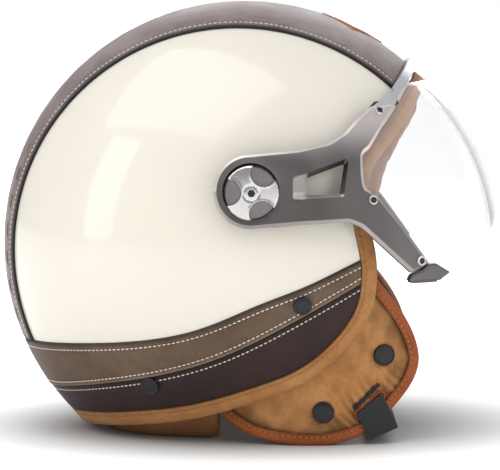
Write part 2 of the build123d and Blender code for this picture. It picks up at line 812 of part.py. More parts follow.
hub_disc = bar_across(pivot_centre, hub_radius, hub_back, hub_face, -1)
hub_room = bar_across(pivot_centre, hub_radius, 0.5 * hub_back, hub_back, -1)
hub_seat = bar_across(pivot_centre, knob_radius + knob_gap, hub_back + hub_floor, through, -1)
hub_bore = bar_across(pivot_centre, bush_radius + 2 * bush_clearance, 0, through, -1)

with BuildPart() as bevel_cut:
    add(plate(bevel_corners, through))
    add(visor_dome(joint_gap + 0.6 * arm_thick), mode=Mode.SUBTRACT)
    add(bar_across(pivot_centre, hub_radius, 0, through, -1), mode=Mode.SUBTRACT)

with BuildPart() as visor_arm_right:
    add(arm_outside)
    add(arm_inside, mode=Mode.SUBTRACT)
    add(plate(arm_corners, through), mode=Mode.INTERSECT)
    add(hub_disc)
    add([hub_room, hub_seat, hub_bore, bevel_cut.part], mode=Mode.SUBTRACT)
    add(plate(window_corners, through), mode=Mode.SUBTRACT)
    add(screw_holes, mode=Mode.SUBTRACT)
visor_arm_right.part.label = "visor_arm_right"

bar_slab = plate(bar_corners)
tip_slab = plate(tip_corners)
with BuildPart() as bar_shape:
    add([bar_slab, tip_slab])
with BuildPart() as brow_bar:
    add(bar_outside)
    add(arm_inside, mode=Mode.SUBTRACT)
    add(bar_shape.part, mode=Mode.INTERSECT)
brow_bar.part.label = "brow_bar"

with BuildPart() as lift_tab:
    add(arm_outside)
    add(visor_dome(-visor_sheet - 1.6), mode=Mode.SUBTRACT)
    add(plate(tab_corners, through), mode=Mode.INTERSECT)
    add([visor_shield.part, visor_arm_right.part], mode=Mode.SUBTRACT)
lift_tab.part.label = "lift_tab"

with BuildPart() as visor_screws:
    for spot in screw_spots:
        for hand in hands:
            add(button(
                visor_plane(spot, hand).offset(arm_thick + 2 * joint_gap), screw_head, 1.6,
                screw_shank, arm_thick + visor_sheet + 2.2,
            ))
visor_screws.part.label = "visor_screws"

with BuildPart() as visor_nuts:
    for spot in screw_spots:
        for hand in hands:
            add(pin_on(visor_plane(spot, hand), 3.0, -visor_sheet - 2.1, -visor_sheet - 0.15))
    add(screw_holes, mode=Mode.SUBTRACT)
visor_nuts.part.label = "visor_nuts"

# ------------------------------------------------------------------ visor pivots
bush_start = pivot_shell - shell_wall - bush_flange_thick - 2.0
with BuildPart() as bush_right:
    add(bar_across(pivot_centre, bush_flange, bush_start, through, -1))
    add(shell_dome(-shell_wall - glue_line), mode=Mode.INTERSECT)
    add(bar_across(pivot_centre, bush_radius, bush_start, bush_top - 0.2, -1))
    add(bar_across(pivot_centre, stud_radius + stud_clearance, 0, through, -1), mode=Mode.SUBTRACT)
with BuildPart() as pivot_bushes:
    add(bush_right.part)
    mirror(bush_right.part, about=Plane.XZ)
pivot_bushes.part.label = "pivot_bushes"

with BuildPart() as base_right:
    add(bar_across(pivot_centre, base_radius, 0.8 * pivot_shell, base_face, -1))
    add(skin_inside, mode=Mode.SUBTRACT)
    add(bar_across(pivot_centre, bush_radius + bush_clearance, 0, through, -1), mode=Mode.SUBTRACT)
with BuildPart() as pivot_bases:
    add(base_right.part)
    mirror(base_right.part, about=Plane.XZ)
pivot_bases.part.label = "pivot_bases"

with BuildPart() as washer_right:
    add(bar_across(pivot_centre, washer_radius, base_face + washer_gap, hub_back - washer_gap, -1))
    add(hub_bore, mode=Mode.SUBTRACT)
with BuildPart() as pivot_washers:
    add(washer_right.part)
    mirror(washer_right.part, about=Plane.XZ)
pivot_washers.part.label = "pivot_washers"

knob_face = knob_back + knob_thick
knob_front = Plane(
    origin=(pivot_centre.X, -knob_face, pivot_centre.Z), x_dir=(1, 0, 0), z_dir=(0, -1, 0)
)
with BuildPart() as knob_right:
    add(bar_across(pivot_centre, knob_radius, knob_back, knob_face, -1))
    chamfer(faces().sort_by(Axis.Y)[0].edges(), 0.8)
    with BuildSketch(knob_front):
        with PolarLocations(scoop_offset, 3, start_angle=scoop_angle):
            Circle(scoop_radius)
    extrude(amount=-0.55 * knob_thick, mode=Mode.SUBTRACT)
    add(bar_across(pivot_centre, stud_radius, bush_start + 1, knob_back, -1))
    with BuildSketch(knob_front):
        RegularPolygon(socket_radius, 6)
    extrude(amount=-socket_depth, mode=Mode.SUBTRACT)
knob_right.part.label = "knob_right"

# ------------------------------------------------------------------ left hand pieces
left_pieces = {}
for piece in (ear_flap_right, flap_edging_right, cheek_pad_right, visor_arm_right, knob_right):
    with BuildPart() as left_piece:
        mirror(piece.part, about=Plane.XZ)
    left_pieces[piece.part.label.replace("right", "left")] = left_piece.part

pieces = [
    outer_shell, center_strip, strip_piping, upper_band, lower_band, rim_binding, shell_snaps,
    impact_liner, comfort_liner, face_roll, neck_roll, ear_flap_right, flap_edging_right,
    flap_snaps, cheek_pad_right, strap_right, strap_left, strap_posts, strap_rivets,
    buckle_body, buckle_tongue, buckle_pin, buckle_lever, buckle_spring, visor_shield,
    visor_arm_right, brow_bar, lift_tab, visor_screws, visor_nuts, pivot_bushes, pivot_bases,
    pivot_washers, knob_right,
]
os.makedirs("parts", exist_ok=True)
for piece in pieces:
    export_step(piece.part, f"parts/{piece.part.label}.step")
for label, solid in left_pieces.items():
    solid.label = label
    export_step(solid, f"parts/{label}.step")
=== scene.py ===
import json
import math

import bmesh
import bpy
import numpy as np
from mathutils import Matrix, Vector
from mathutils.geometry import delaunay_2d_cdt


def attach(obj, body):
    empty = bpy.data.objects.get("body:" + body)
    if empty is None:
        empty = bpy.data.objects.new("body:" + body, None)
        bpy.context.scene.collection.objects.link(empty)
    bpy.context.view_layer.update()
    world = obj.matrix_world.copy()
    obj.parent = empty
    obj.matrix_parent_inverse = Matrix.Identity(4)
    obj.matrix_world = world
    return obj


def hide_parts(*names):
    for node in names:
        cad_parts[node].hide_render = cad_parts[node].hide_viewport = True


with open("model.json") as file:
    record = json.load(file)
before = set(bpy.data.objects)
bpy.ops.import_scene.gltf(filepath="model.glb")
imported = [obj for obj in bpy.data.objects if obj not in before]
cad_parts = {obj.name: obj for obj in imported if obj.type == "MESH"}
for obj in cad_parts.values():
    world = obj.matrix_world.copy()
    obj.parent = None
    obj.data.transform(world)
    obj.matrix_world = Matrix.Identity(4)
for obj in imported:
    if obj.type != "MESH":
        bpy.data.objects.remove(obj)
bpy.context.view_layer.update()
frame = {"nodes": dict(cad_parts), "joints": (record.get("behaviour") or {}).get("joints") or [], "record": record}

# All lengths in this script are millimetres from the shell centre, unless they end in _m.
# x is forward, y to the wearer's left, z up.  hand is -1 for the right side, 1 for the left.
pivot = next(j for j in frame["joints"] if j["name"] == "visor_lift")["pos_m"]
PIVOT = np.array([4.0, 0.0, 40.5])
CENTRE = np.array(pivot) * 1000 - PIVOT
FLOOR = -CENTRE[2]
FLOOR_GAP = 0.03
SIDES = ((-1, "right"), (1, "left"))


# ------------------------------------------------------------------ geometry helpers
def travelled(points):
    """Distance along a line from its start to each of its points."""
    return np.concatenate([[0], np.cumsum(np.linalg.norm(np.diff(points, axis=0), axis=1))])


def smooth(points, count=500, closed=False):
    """Points along a smooth curve through the given ones."""
    p = np.array(points, float)
    if closed:
        p = np.vstack([p[-3:], p, p[:4]])
    t = travelled(p)
    n = len(p)
    step = np.diff(t)
    a = np.zeros((n, n))
    a[0, 0] = a[-1, -1] = 1
    rhs = np.zeros((n, p.shape[1]))
    for i in range(1, n - 1):
        a[i, i - 1], a[i, i], a[i, i + 1] = step[i - 1], 2 * (step[i - 1] + step[i]), step[i]
        rhs[i] = 6 * ((p[i + 1] - p[i]) / step[i] - (p[i] - p[i - 1]) / step[i - 1])
    m = np.linalg.solve(a, rhs)
    low, high = (t[3], t[-4]) if closed else (t[0], t[-1])
    s = np.linspace(low, high, count + 1)[:-1] if closed else np.linspace(low, high, count)
    k = np.clip(np.searchsorted(t, s, side="right") - 1, 0, n - 2)
    h = step[k][:, None]
    u = (s - t[k])[:, None] / h
    return (
        p[k] * (1 - u) + p[k + 1] * u
        + h * h / 6 * ((1 - u) ** 3 - (1 - u)) * m[k] + h * h / 6 * (u**3 - u) * m[k + 1]
    )


def beside(curve, amount):
    """The curve moved to the left of its direction."""
    d = np.gradient(curve, axis=0)
    d /= np.linalg.norm(d, axis=1)[:, None]
    return curve + amount * np.stack([-d[:, 1], d[:, 0]], axis=1)


def spaced(points, count):
    """The same line with its points evenly spaced."""
    t = travelled(points)
    s = np.linspace(0, t[-1], count)
    return np.stack([np.interp(s, t, points[:, i]) for i in range(points.shape[1])], axis=1)


def rounded(corners, radius, steps=5):
    """A closed outline with rounded corners.  radius is one number or one per corner."""
    c = np.array(corners, float)
    n = len(c)
    radii = np.full(n, radius, float) if np.isscalar(radius) else np.array(radius, float)
    out = []
    for i in range(n):
        a, b, d = c[i - 1] - c[i], c[(i + 1) % n] - c[i], radii[i]
        la, lb = np.linalg.norm(a), np.linalg.norm(b)
        a, b = a / la, b / lb
        half = math.acos(max(-1, min(1, float(a @ b)))) / 2
        if d <= 0 or half > 1.54:
            out.append(c[i])
            continue
        cut = min(d / math.tan(half), 0.45 * la, 0.45 * lb)
        for k in range(steps + 1):
            t = k / steps
            out.append(
                (1 - t) ** 2 * (c[i] + a * cut) + 2 * t * (1 - t) * c[i] + t * t * (c[i] + b * cut)
            )
    return np.array(out)


def dense(outline, step):
    """A closed outline with no side longer than step."""
    out = []
    for i in range(len(outline)):
        a, b = outline[i], outline[(i + 1) % len(outline)]
        k = max(1, int(math.ceil(np.linalg.norm(b - a) / step)))
        out += [a + (b - a) * j / k for j in range(k)]
    return np.array(out)


def inside(points, outline):
    """Which of the points lie inside a closed outline."""
    x, y = points[:, 0][:, None], points[:, 1][:, None]
    a, b = outline, np.roll(outline, -1, axis=0)
    cross = (a[None, :, 1] > y) != (b[None, :, 1] > y)
    rise = b[:, 1] - a[:, 1]
    rise = np.where(np.abs(rise) < 1e-12, 1e-12, rise)
    at = a[None, :, 0] + (y - a[None, :, 1]) / rise[None] * (b - a)[None, :, 0]
    return (np.sum(cross & (x < at), axis=1) % 2) == 1


def gap(points, line, closed=True):
    """Distance from each point to a line."""
    a = line if closed else line[:-1]
    b = np.roll(line, -1, axis=0) if closed else line[1:]
    best = np.full(len(points), 1e9)
    for i in range(0, len(a), 64):
        d = b[i:i + 64] - a[i:i + 64]
        w = points[:, None, :] - a[None, i:i + 64]
        t = np.clip(np.sum(w * d, axis=2) / np.maximum(np.sum(d * d, axis=1), 1e-12), 0, 1)
        best = np.minimum(best, np.min(np.linalg.norm(w - t[..., None] * d, axis=2), axis=1))
    return best


def step_up(x, low, high):
    """A soft step from 0 at low to 1 at high."""
    t = np.clip((np.asarray(x, float) - low) / (high - low), 0, 1)
    return t * t * (3 - 2 * t)


class Dome:
    """A surface of revolution about a cross axis."""

    def __init__(self, x, z, radius, half_width, fullness=0.565):
        t, k = np.linspace(0, 1, 6001), fullness
        s = 1 - t
        self.x, self.z, self.radius = x, z, radius
        self.reach = radius * (3 * s * s * t * k + 3 * s * t * t + t**3)
        self.across = half_width * (s**3 + 3 * s * s * t + 3 * s * t * t * k)
        run = radius * s * (k * (1 - 3 * t) + 2 * t)
        drop = half_width * t * (2 * s - k * (2 - 3 * t))
        size = np.hypot(run, drop)
        self.nr, self.ny = drop / size, run / size

    def at(self, xz, hand, height=0.0):
        """Points and outward normals on the dome at these spots of the side view."""
        d = np.asarray(xz, float) - np.array([self.x, self.z])
        reach = np.hypot(d[:, 0], d[:, 1])
        y = np.interp(reach, self.reach, self.across)
        nr = np.interp(reach, self.reach, self.nr) / np.maximum(reach, 1e-9)
        ny = np.interp(reach, self.reach, self.ny)
        over = reach > self.radius
        scale = np.where(over, self.radius / reach, 1.0)
        normal = np.stack([nr * d[:, 0], hand * ny, nr * d[:, 1]], axis=1)
        normal /= np.linalg.norm(normal, axis=1)[:, None]
        point = np.stack([self.x + d[:, 0] * scale, hand * y, self.z + d[:, 1] * scale], axis=1)
        return point + normal * np.reshape(height, (-1, 1)), normal

    def clip(self, curve):
        """The dense part of a side-view curve that lies on the dome, its ends on the rim."""
        reach = np.hypot(curve[:, 0] - self.x, curve[:, 1] - self.z)
        t = np.arange(len(curve), dtype=float)
        on = np.where(reach <= self.radius)[0]
        low, high = float(on[0]), float(on[-1])
        if on[0] > 0:
            i = on[0]
            low = i - (self.radius - reach[i]) / (reach[i - 1] - reach[i])
        if on[-1] < len(curve) - 1:
            i = on[-1]
            high = i + (self.radius - reach[i]) / (reach[i + 1] - reach[i])
        u = low + (high - low) * (1 - np.cos(np.linspace(0, math.pi, 3000))) / 2
        return np.stack([np.interp(u, t, curve[:, 0]), np.interp(u, t, curve[:, 1])], axis=1)

    def trace(self, curve, count, loop=False):
        """Points and normals along a side-view curve, on both sides of the helmet.

        The curve starts on the rim.  With loop it also ends there."""
        half = self.clip(curve)
        right, _ = self.at(half, -1)
        t = travelled(right)
        s = np.linspace(0, t[-1], count)
        spots = np.stack([np.interp(s, t, half[:, 0]), np.interp(s, t, half[:, 1])], axis=1)
        pr, nr = self.at(spots, -1)
        ends = [0, -1] if loop else [0]
        pr[ends, 1] = 0
        nr[ends, 1] = 0
        mirror = np.array([1, -1, 1])
        if loop:
            return (
                np.vstack([pr, (pr * mirror)[-2:0:-1]]), np.vstack([nr, (nr * mirror)[-2:0:-1]])
            )
        return (
            np.vstack([(pr * mirror)[:0:-1], pr]), np.vstack([(nr * mirror)[:0:-1], nr])
        )


SHELL_RADIUS, SHELL_HALF_WIDTH = 153.0, 115.5
VISOR_X, VISOR_Z = 18.5, -3.0
VISOR_RADIUS, VISOR_HALF_WIDTH = 147.0, 124.3
shell = Dome(0, 0, SHELL_RADIUS, SHELL_HALF_WIDTH)
visor = Dome(VISOR_X, VISOR_Z, VISOR_RADIUS, VISOR_HALF_WIDTH)
FLAP_BOW = 150.0
FLAP_MIDDLE = 40.0
FLAP_OUT = 88.5


def flap_at(xz, hand, height=0.0):
    """Points and normals on the outer face of an ear flap, an upright wall bowed in plan."""
    xz = np.asarray(xz, float)
    run = xz[:, 0] - FLAP_MIDDLE
    rise = np.sqrt(FLAP_BOW**2 - run**2)
    point = np.stack([xz[:, 0], hand * (rise + FLAP_OUT - FLAP_BOW), xz[:, 1]], axis=1)
    normal = np.stack([run / FLAP_BOW, hand * rise / FLAP_BOW, np.zeros(len(run))], axis=1)
    return point + normal * np.reshape(height, (-1, 1)), normal


# ------------------------------------------------------------------ mesh helpers
def make(name, verts, faces, material, body="helmet", flat=None):
    """A mesh object on one body.  flat is the angle above which an edge stays sharp."""
    me = bpy.data.meshes.new(name)
    v = np.asarray(verts, float) + CENTRE
    v[:, 2] = np.maximum(v[:, 2], FLOOR_GAP)
    v = v / 1000
    me.from_pydata(v.tolist(), [], [tuple(int(i) for i in f) for f in faces])
    me.validate()
    me.polygons.foreach_set("use_smooth", [True] * len(me.polygons))
    if flat is not None:
        me.set_sharp_from_angle(angle=math.radians(flat))
    ob = bpy.data.objects.new(name, me)
    bpy.context.scene.collection.objects.link(ob)
    me.materials.append(material)
    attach(ob, body)
    return ob


def grid_faces(rows, cols, wrap_rows=False, wrap_cols=False, start=0):
    """Four-sided faces between the points of a grid, its first point numbered start."""
    r = np.arange(rows if wrap_rows else rows - 1)
    c = np.arange(cols if wrap_cols else cols - 1)
    i, j = np.meshgrid(r, c, indexing="ij")
    i2, j2 = (i + 1) % rows, (j + 1) % cols
    quads = np.stack([i * cols + j, i * cols + j2, i2 * cols + j2, i2 * cols + j], axis=-1)
    return (quads.reshape(-1, 4) + start).tolist()


def solid_rows(name, rows, material, body="helmet", loop=False):
    """Closed solid from section rows, each row running along the piece."""
    rows = np.array(rows)
    r, c, _ = rows.shape
    faces = grid_faces(r, c, wrap_rows=True, wrap_cols=loop)
    if not loop:
        faces += [[i * c for i in range(r)], [i * c + c - 1 for i in range(r)][::-1]]
    return make(name, rows.reshape(-1, 3), faces, material, body)


def relief(outline, holes, spacing, lines=()):
    """Flat triangles that fill an outline with holes, with edges along the extra lines."""
    loops = [outline] + list(holes)
    pts = [p for lp in loops for p in lp]
    edges, at = [], 0
    for lp in loops:
        n = len(lp)
        edges += [(at + i, at + (i + 1) % n) for i in range(n)]
        at += n
    for ln in lines:
        pts += list(ln)
        n = len(ln)
        edges += [(at + i, at + (i + 1) % n) for i in range(n)]
        at += n
    low, high = outline.min(axis=0), outline.max(axis=0)
    xs = np.arange(low[0], high[0], spacing)
    zs = np.arange(low[1], high[1], spacing * 0.866)
    g = np.array([(x + (0.5 * spacing if k % 2 else 0), z) for k, z in enumerate(zs) for x in xs])
    keep = inside(g, outline)
    for h in holes:
        keep &= ~inside(g, h)
    for lp in loops + list(lines):
        keep &= gap(g, lp) > 0.55 * spacing
    pts = np.array(pts + list(g[keep]))
    v, _, f, _, _, _ = delaunay_2d_cdt([Vector(p) for p in pts], edges, [], 0, 1e-6)
    v = np.array([tuple(p) for p in v])
    f = np.array([t for t in f if len(t) == 3])
    mid = v[f].mean(axis=1)
    good = inside(mid, outline)
    for h in holes:
        good &= ~inside(mid, h)
    f = f[good]
    a, b, c = v[f[:, 0]], v[f[:, 1]], v[f[:, 2]]
    turn = (b - a)[:, 0] * (c - a)[:, 1] - (b - a)[:, 1] * (c - a)[:, 0]
    f[turn < 0] = f[turn < 0][:, ::-1]
    return v, f


def border(f):
    """The edges that only one triangle has."""
    e = np.vstack([f[:, [0, 1]], f[:, [1, 2]], f[:, [2, 0]]])
    have = set(map(tuple, e.tolist()))
    return [(a, b) for a, b in e.tolist() if (b, a) not in have]


def slab_mesh(name, v, f, top, bottom, material, body="helmet", flat=None, hand=-1):
    """Closed solid between a top and a bottom sheet with the same triangles."""
    n = len(v)
    faces = f.tolist() + (f[:, ::-1] + n).tolist()
    faces += [[b, a, a + n, b + n] for a, b in border(f)]
    if hand > 0:
        faces = [q[::-1] for q in faces]
    return make(name, np.vstack([top, bottom]), faces, material, body, flat)


def lathe(name, origin, axis, profile, material, body="helmet", around=40, flat=35):
    """Turned piece: profile is a list of (radius, height) along the axis."""
    axis = Vector(axis).normalized()
    u = axis.orthogonal().normalized()
    w = axis.cross(u)
    u, w, n = np.array(u), np.array(w), np.array(axis)
    ang = np.linspace(0, 2 * math.pi, around, endpoint=False)
    ring = np.cos(ang)[:, None] * u + np.sin(ang)[:, None] * w
    rows = [np.asarray(origin) + r * ring + h * n for r, h in profile]
    verts = np.vstack(rows)
    faces = [[q[3], q[2], q[1], q[0]] for q in grid_faces(len(rows), around, wrap_cols=True)]
    faces.append(list(range(around)))
    faces.append([len(verts) - around + i for i in range(around)][::-1])
    ob = make(name, verts, faces, material, body, flat)
    me = ob.data
    bm = bmesh.new()
    bm.from_mesh(me)
    bmesh.ops.recalc_face_normals(bm, faces=bm.faces)
    bm.to_mesh(me)
    bm.free()
    return ob


STITCH_SINK = 0.1
THREAD_SIDES = 6


def stitches(name, points, normals, material, body="helmet", pitch=4.2, length=3.0, radius=0.42,
             loop=False):
    """A row of sewn stitches along a line on a surface."""
    if loop:
        points, normals = np.vstack([points, points[:1]]), np.vstack([normals, normals[:1]])
    t = travelled(points)
    count = max(1, int(t[-1] / pitch))
    stations = np.array([-1.0, -0.8, -0.35, 0.35, 0.8, 1.0])
    size = np.array([0.2, 0.75, 1.0, 1.0, 0.75, 0.2])
    lift = np.array([-0.9, -0.25, 0.25, 0.25, -0.25, -0.9]) * radius - STITCH_SINK
    verts, faces = [], []
    for k in range(count):
        mid = (k + 0.5) * t[-1] / count
        s = mid + stations * length / 2
        p = np.stack([np.interp(s, t, points[:, i]) for i in range(3)], axis=1)
        n = np.stack([np.interp(s, t, normals[:, i]) for i in range(3)], axis=1)
        n /= np.linalg.norm(n, axis=1)[:, None]
        d = p[-1] - p[0]
        d /= max(np.linalg.norm(d), 1e-9)
        side = np.cross(n, d)
        p = p + n * lift[:, None]
        base = len(verts)
        for i in range(THREAD_SIDES):
            for a in range(THREAD_SIDES):
                w = a * 2 * math.pi / THREAD_SIDES
                verts.append(
                    p[i] + radius * size[i] * (math.cos(w) * side[i] + 0.8 * math.sin(w) * n[i])
                )
        faces += grid_faces(6, 6, wrap_cols=True, start=base)
        faces += [[base + i for i in range(6)][::-1], [base + 30 + i for i in range(6)]]
    return make(name, np.array(verts), faces, material, body)


def tube(name, points, radius, material, body="helmet", sides=8, loop=False, squash=1.0,
         normals=None):
    p = np.asarray(points, float)
    d = np.gradient(p, axis=0)
    if loop:
        d = np.roll(p, -1, axis=0) - np.roll(p, 1, axis=0)
    d /= np.linalg.norm(d, axis=1)[:, None]
    n = np.asarray(normals, float) if normals is not None else np.tile([0.0, 0.3, 1.0], (len(p), 1))
    n = n - np.sum(n * d, axis=1)[:, None] * d
    n /= np.linalg.norm(n, axis=1)[:, None]
    w = np.cross(d, n)
    r = np.broadcast_to(np.asarray(radius, float), (len(p),))[:, None]
    rows = [
        p + r * (math.cos(a) * w + squash * math.sin(a) * n)
        for a in np.linspace(0, 2 * math.pi, sides, endpoint=False)
    ]
    return solid_rows(name, rows[::-1], material, body, loop)


# ------------------------------------------------------------------ camera, floor and light
scene = bpy.context.scene
scene.view_settings.view_transform = "Standard"


def place(ob):
    """Puts an object in the scene."""
    scene.collection.objects.link(ob)
    return ob


def look(ob, eye, target):
    """Stands a camera or a light at eye, facing target."""
    ob.location = Vector(eye)
    ob.rotation_euler = (Vector(target) - Vector(eye)).to_track_quat("-Z", "Y").to_euler()


TARGET_M = (CENTRE + np.array([3.2, 0.0, 4.5])) / 1000
CAMERA_DISTANCE_M = 1.8
CAMERA_TILT = math.radians(5.0)
lens = bpy.data.cameras.new("camera")
lens.lens, lens.sensor_width = 200.7, 36.0
lens.clip_start, lens.clip_end = 0.05, 60.0
camera = place(bpy.data.objects.new("camera", lens))
toward_eye = np.array([0, -math.cos(CAMERA_TILT), math.sin(CAMERA_TILT)])
look(camera, TARGET_M + CAMERA_DISTANCE_M * toward_eye, TARGET_M)
scene.camera = camera


def area_light(name, eye, size, power):
    """A soft white panel facing the helmet.  eye and size are in metres, power in watts."""
    data = bpy.data.lights.new(name, "AREA")
    data.shape, data.size, data.size_y = "RECTANGLE", size[0], size[1]
    data.energy = power
    look(place(bpy.data.objects.new(name, data)), eye, TARGET_M)


area_light("top_light", (-0.5, -0.5, 1.5), (1.6, 1.2), 9.0)
area_light("front_light", (1.3, -1.3, 0.7), (0.7, 1.2), 4.0)
area_light("rear_light", (-1.5, -0.9, 0.7), (0.5, 1.2), 4.0)
area_light("far_light", (0.3, 1.6, 1.1), (1.4, 0.8), 8.0)


# ------------------------------------------------------------------ materials
class Net:
    """Adds nodes to a tree and links them."""

    def __init__(self, tree):
        self.tree = tree

    def add(self, kind, **values):
        node = self.tree.nodes.new("ShaderNode" + kind)
        for key, value in values.items():
            key = key.replace("_", " ")
            if hasattr(node, key.replace(" ", "_")) and key not in node.inputs:
                setattr(node, key.replace(" ", "_"), value)
            else:
                self.put(node.inputs[key], value)
        return node

    def put(self, socket, value):
        if isinstance(value, bpy.types.NodeSocket):
            self.tree.links.new(value, socket)
        elif isinstance(value, bpy.types.Node):
            self.tree.links.new(value.outputs[0], socket)
        elif socket.type == "RGBA" and len(value) == 3:
            socket.default_value = (*value, 1)
        else:
            socket.default_value = value

    def math(self, operation, *values, clamp=False):
        node = self.tree.nodes.new("ShaderNodeMath")
        node.operation, node.use_clamp = operation, clamp
        for i, value in enumerate(values):
            self.put(node.inputs[i], value)
        return node.outputs[0]

    def mix(self, factor, a, b, blend="MIX"):
        node = self.tree.nodes.new("ShaderNodeMix")
        node.data_type, node.blend_type = "RGBA", blend
        self.put(node.inputs["Factor"], factor)
        self.put(node.inputs[6], a)
        self.put(node.inputs[7], b)
        return node.outputs[2]

    def ramp(self, value, low, high, a=0.0, b=1.0):
        node = self.tree.nodes.new("ShaderNodeMapRange")
        for key, v in (("Value", value), ("From Min", low), ("From Max", high), ("To Min", a),
                       ("To Max", b)):
            self.put(node.inputs[key], v)
        return node.outputs[0]


def group(name, inputs, outputs):
    """An empty shader group with named sockets.  Returns the net, its input and output nodes."""
    tree = bpy.data.node_groups.new(name, "ShaderNodeTree")
    kinds = {"color": "NodeSocketColor", "value": "NodeSocketFloat", "vector": "NodeSocketVector"}
    for key, kind, value in inputs:
        s = tree.interface.new_socket(name=key, in_out="INPUT", socket_type=kinds[kind])
        s.default_value = (*value, 1) if kind == "color" else value
    for key, kind in outputs:
        tree.interface.new_socket(name=key, in_out="OUTPUT", socket_type=kinds[kind])
    return Net(tree), tree.nodes.new("NodeGroupInput").outputs, tree.nodes.new("NodeGroupOutput")


def darkened(net, color, shade):
    """The colour times a shade value, darker still where the mesh's painted shade says so and lighter where it
    holds a painted highlight.
    """
    painted_shading_attr = net.add("Attribute", attribute_name="shade")
    shade = net.math("MULTIPLY", shade, net.math("SUBTRACT", 1.0, painted_shading_attr.outputs["Fac"]))
    return multiplied(net, color, shade)


def multiplied(net, color, shade):
    dark = net.add("CombineColor", Red=shade, Green=shade, Blue=shade)
    return net.mix(1.0, color, dark, "MULTIPLY")


def leather_group():
    """Grained hide with worn patches, fine creases and a nap."""
    net, i, out = group(
        "leather_skin",
        [("Color", "color", (0.1, 0.07, 0.05)), ("Worn", "color", (0.2, 0.15, 0.1)),
         ("Grain", "value", 900.0), ("Wear", "value", 0.5), ("Roughness", "value", 0.5),
         ("Fuzz", "value", 0.0)],
        [("Color", "color"), ("Roughness", "value"), ("Height", "value")],
    )
    at = net.add("TexCoord").outputs["Object"]
    drift = net.add("TexNoise", Vector=at, Scale=22.0, Detail=4.0, Roughness=0.6)
    blotch = net.add("TexNoise", Vector=at, Scale=130.0, Detail=5.0, Roughness=0.65)
    cells = net.add("TexVoronoi", Vector=at, Scale=i["Grain"], feature="DISTANCE_TO_EDGE")
    pebble = net.math("MINIMUM", net.math("MULTIPLY", cells.outputs["Distance"], 3.2), 1.0)
    nap = net.add("TexNoise", Vector=at, Scale=2600.0, Detail=3.0, Roughness=0.7)
    crease = net.add("TexNoise", Vector=at, Scale=70.0, Detail=6.0, Roughness=0.7,
                     Distortion=1.6)
    fold = net.math("ABSOLUTE", net.math("SUBTRACT", crease.outputs[0], 0.5))
    fold = net.ramp(fold, 0.0, 0.035, 0.0, 1.0)
    worn = net.math("MULTIPLY", net.ramp(drift.outputs[0], 0.42, 0.68), i["Wear"])
    color = net.mix(worn, i["Color"], i["Worn"])
    shade = net.ramp(blotch.outputs[0], 0.3, 0.7, 0.82, 1.14)
    shade = net.math("MULTIPLY", shade, net.ramp(pebble, 0.0, 0.6, 0.80, 1.03))
    shade = net.math("MULTIPLY", shade, net.ramp(fold, 0.0, 1.0, 0.93, 1.0))
    shade = net.math("MULTIPLY", shade, net.ramp(nap.outputs[0], 0.25, 0.75, 0.9, 1.1))
    net.put(out.inputs["Color"], darkened(net, color, shade))
    net.put(out.inputs["Roughness"], net.math(
        "ADD", i["Roughness"], net.ramp(blotch.outputs[0], 0.3, 0.7, -0.06, 0.08)))
    height = net.math("ADD", net.math("MULTIPLY", pebble, 0.00010),
                      net.math("MULTIPLY", fold, 0.00012))
    height = net.math("ADD", height, net.math(
        "MULTIPLY", nap.outputs[0], net.math("MULTIPLY", i["Fuzz"], 0.00025)))
    net.put(out.inputs["Height"], height)
    return net.tree


def drift_group():
    """Slow and fast variation for hard surfaces, with fine scratches."""
    net, i, out = group(
        "surface_drift",
        [("Color", "color", (0.5, 0.5, 0.5)), ("Spread", "value", 0.1),
         ("Roughness", "value", 0.4), ("Grain", "value", 1500.0), ("Depth", "value", 0.2)],
        [("Color", "color"), ("Roughness", "value"), ("Height", "value")],
    )
    at = net.add("TexCoord").outputs["Object"]
    slow = net.add("TexNoise", Vector=at, Scale=18.0, Detail=3.0, Roughness=0.6)
    fast = net.add("TexNoise", Vector=at, Scale=i["Grain"], Detail=2.0, Roughness=0.6)
    stretch = net.add("Mapping", Vector=at, Rotation=(0.0, 0.5, 0.2), Scale=(60.0, 900.0, 900.0))
    lines = net.add("TexNoise", Vector=stretch, Scale=1.4, Detail=3.0, Roughness=0.6)
    scratch = net.ramp(lines.outputs[0], 0.66, 0.72)
    low = net.math("SUBTRACT", 1.0, i["Spread"])
    high = net.math("ADD", 1.0, i["Spread"])
    shade = net.ramp(slow.outputs[0], 0.35, 0.65, low, high)
    shade = net.math("MULTIPLY", shade, net.ramp(fast.outputs[0], 0.2, 0.8, low, high))
    net.put(out.inputs["Color"], darkened(net, i["Color"], shade))
    rough = net.math("ADD", i["Roughness"], net.ramp(slow.outputs[0], 0.35, 0.65, -0.04, 0.06))
    net.put(out.inputs["Roughness"], net.math(
        "ADD", rough, net.math("MULTIPLY", scratch, 0.08)))
    grain = net.math("MULTIPLY", fast.outputs[0], net.math("MULTIPLY", i["Depth"], 0.0001))
    net.put(out.inputs["Height"], net.math("SUBTRACT", grain, net.math(
        "MULTIPLY", scratch, net.math("MULTIPLY", i["Depth"], 0.00002))))
    return net.tree


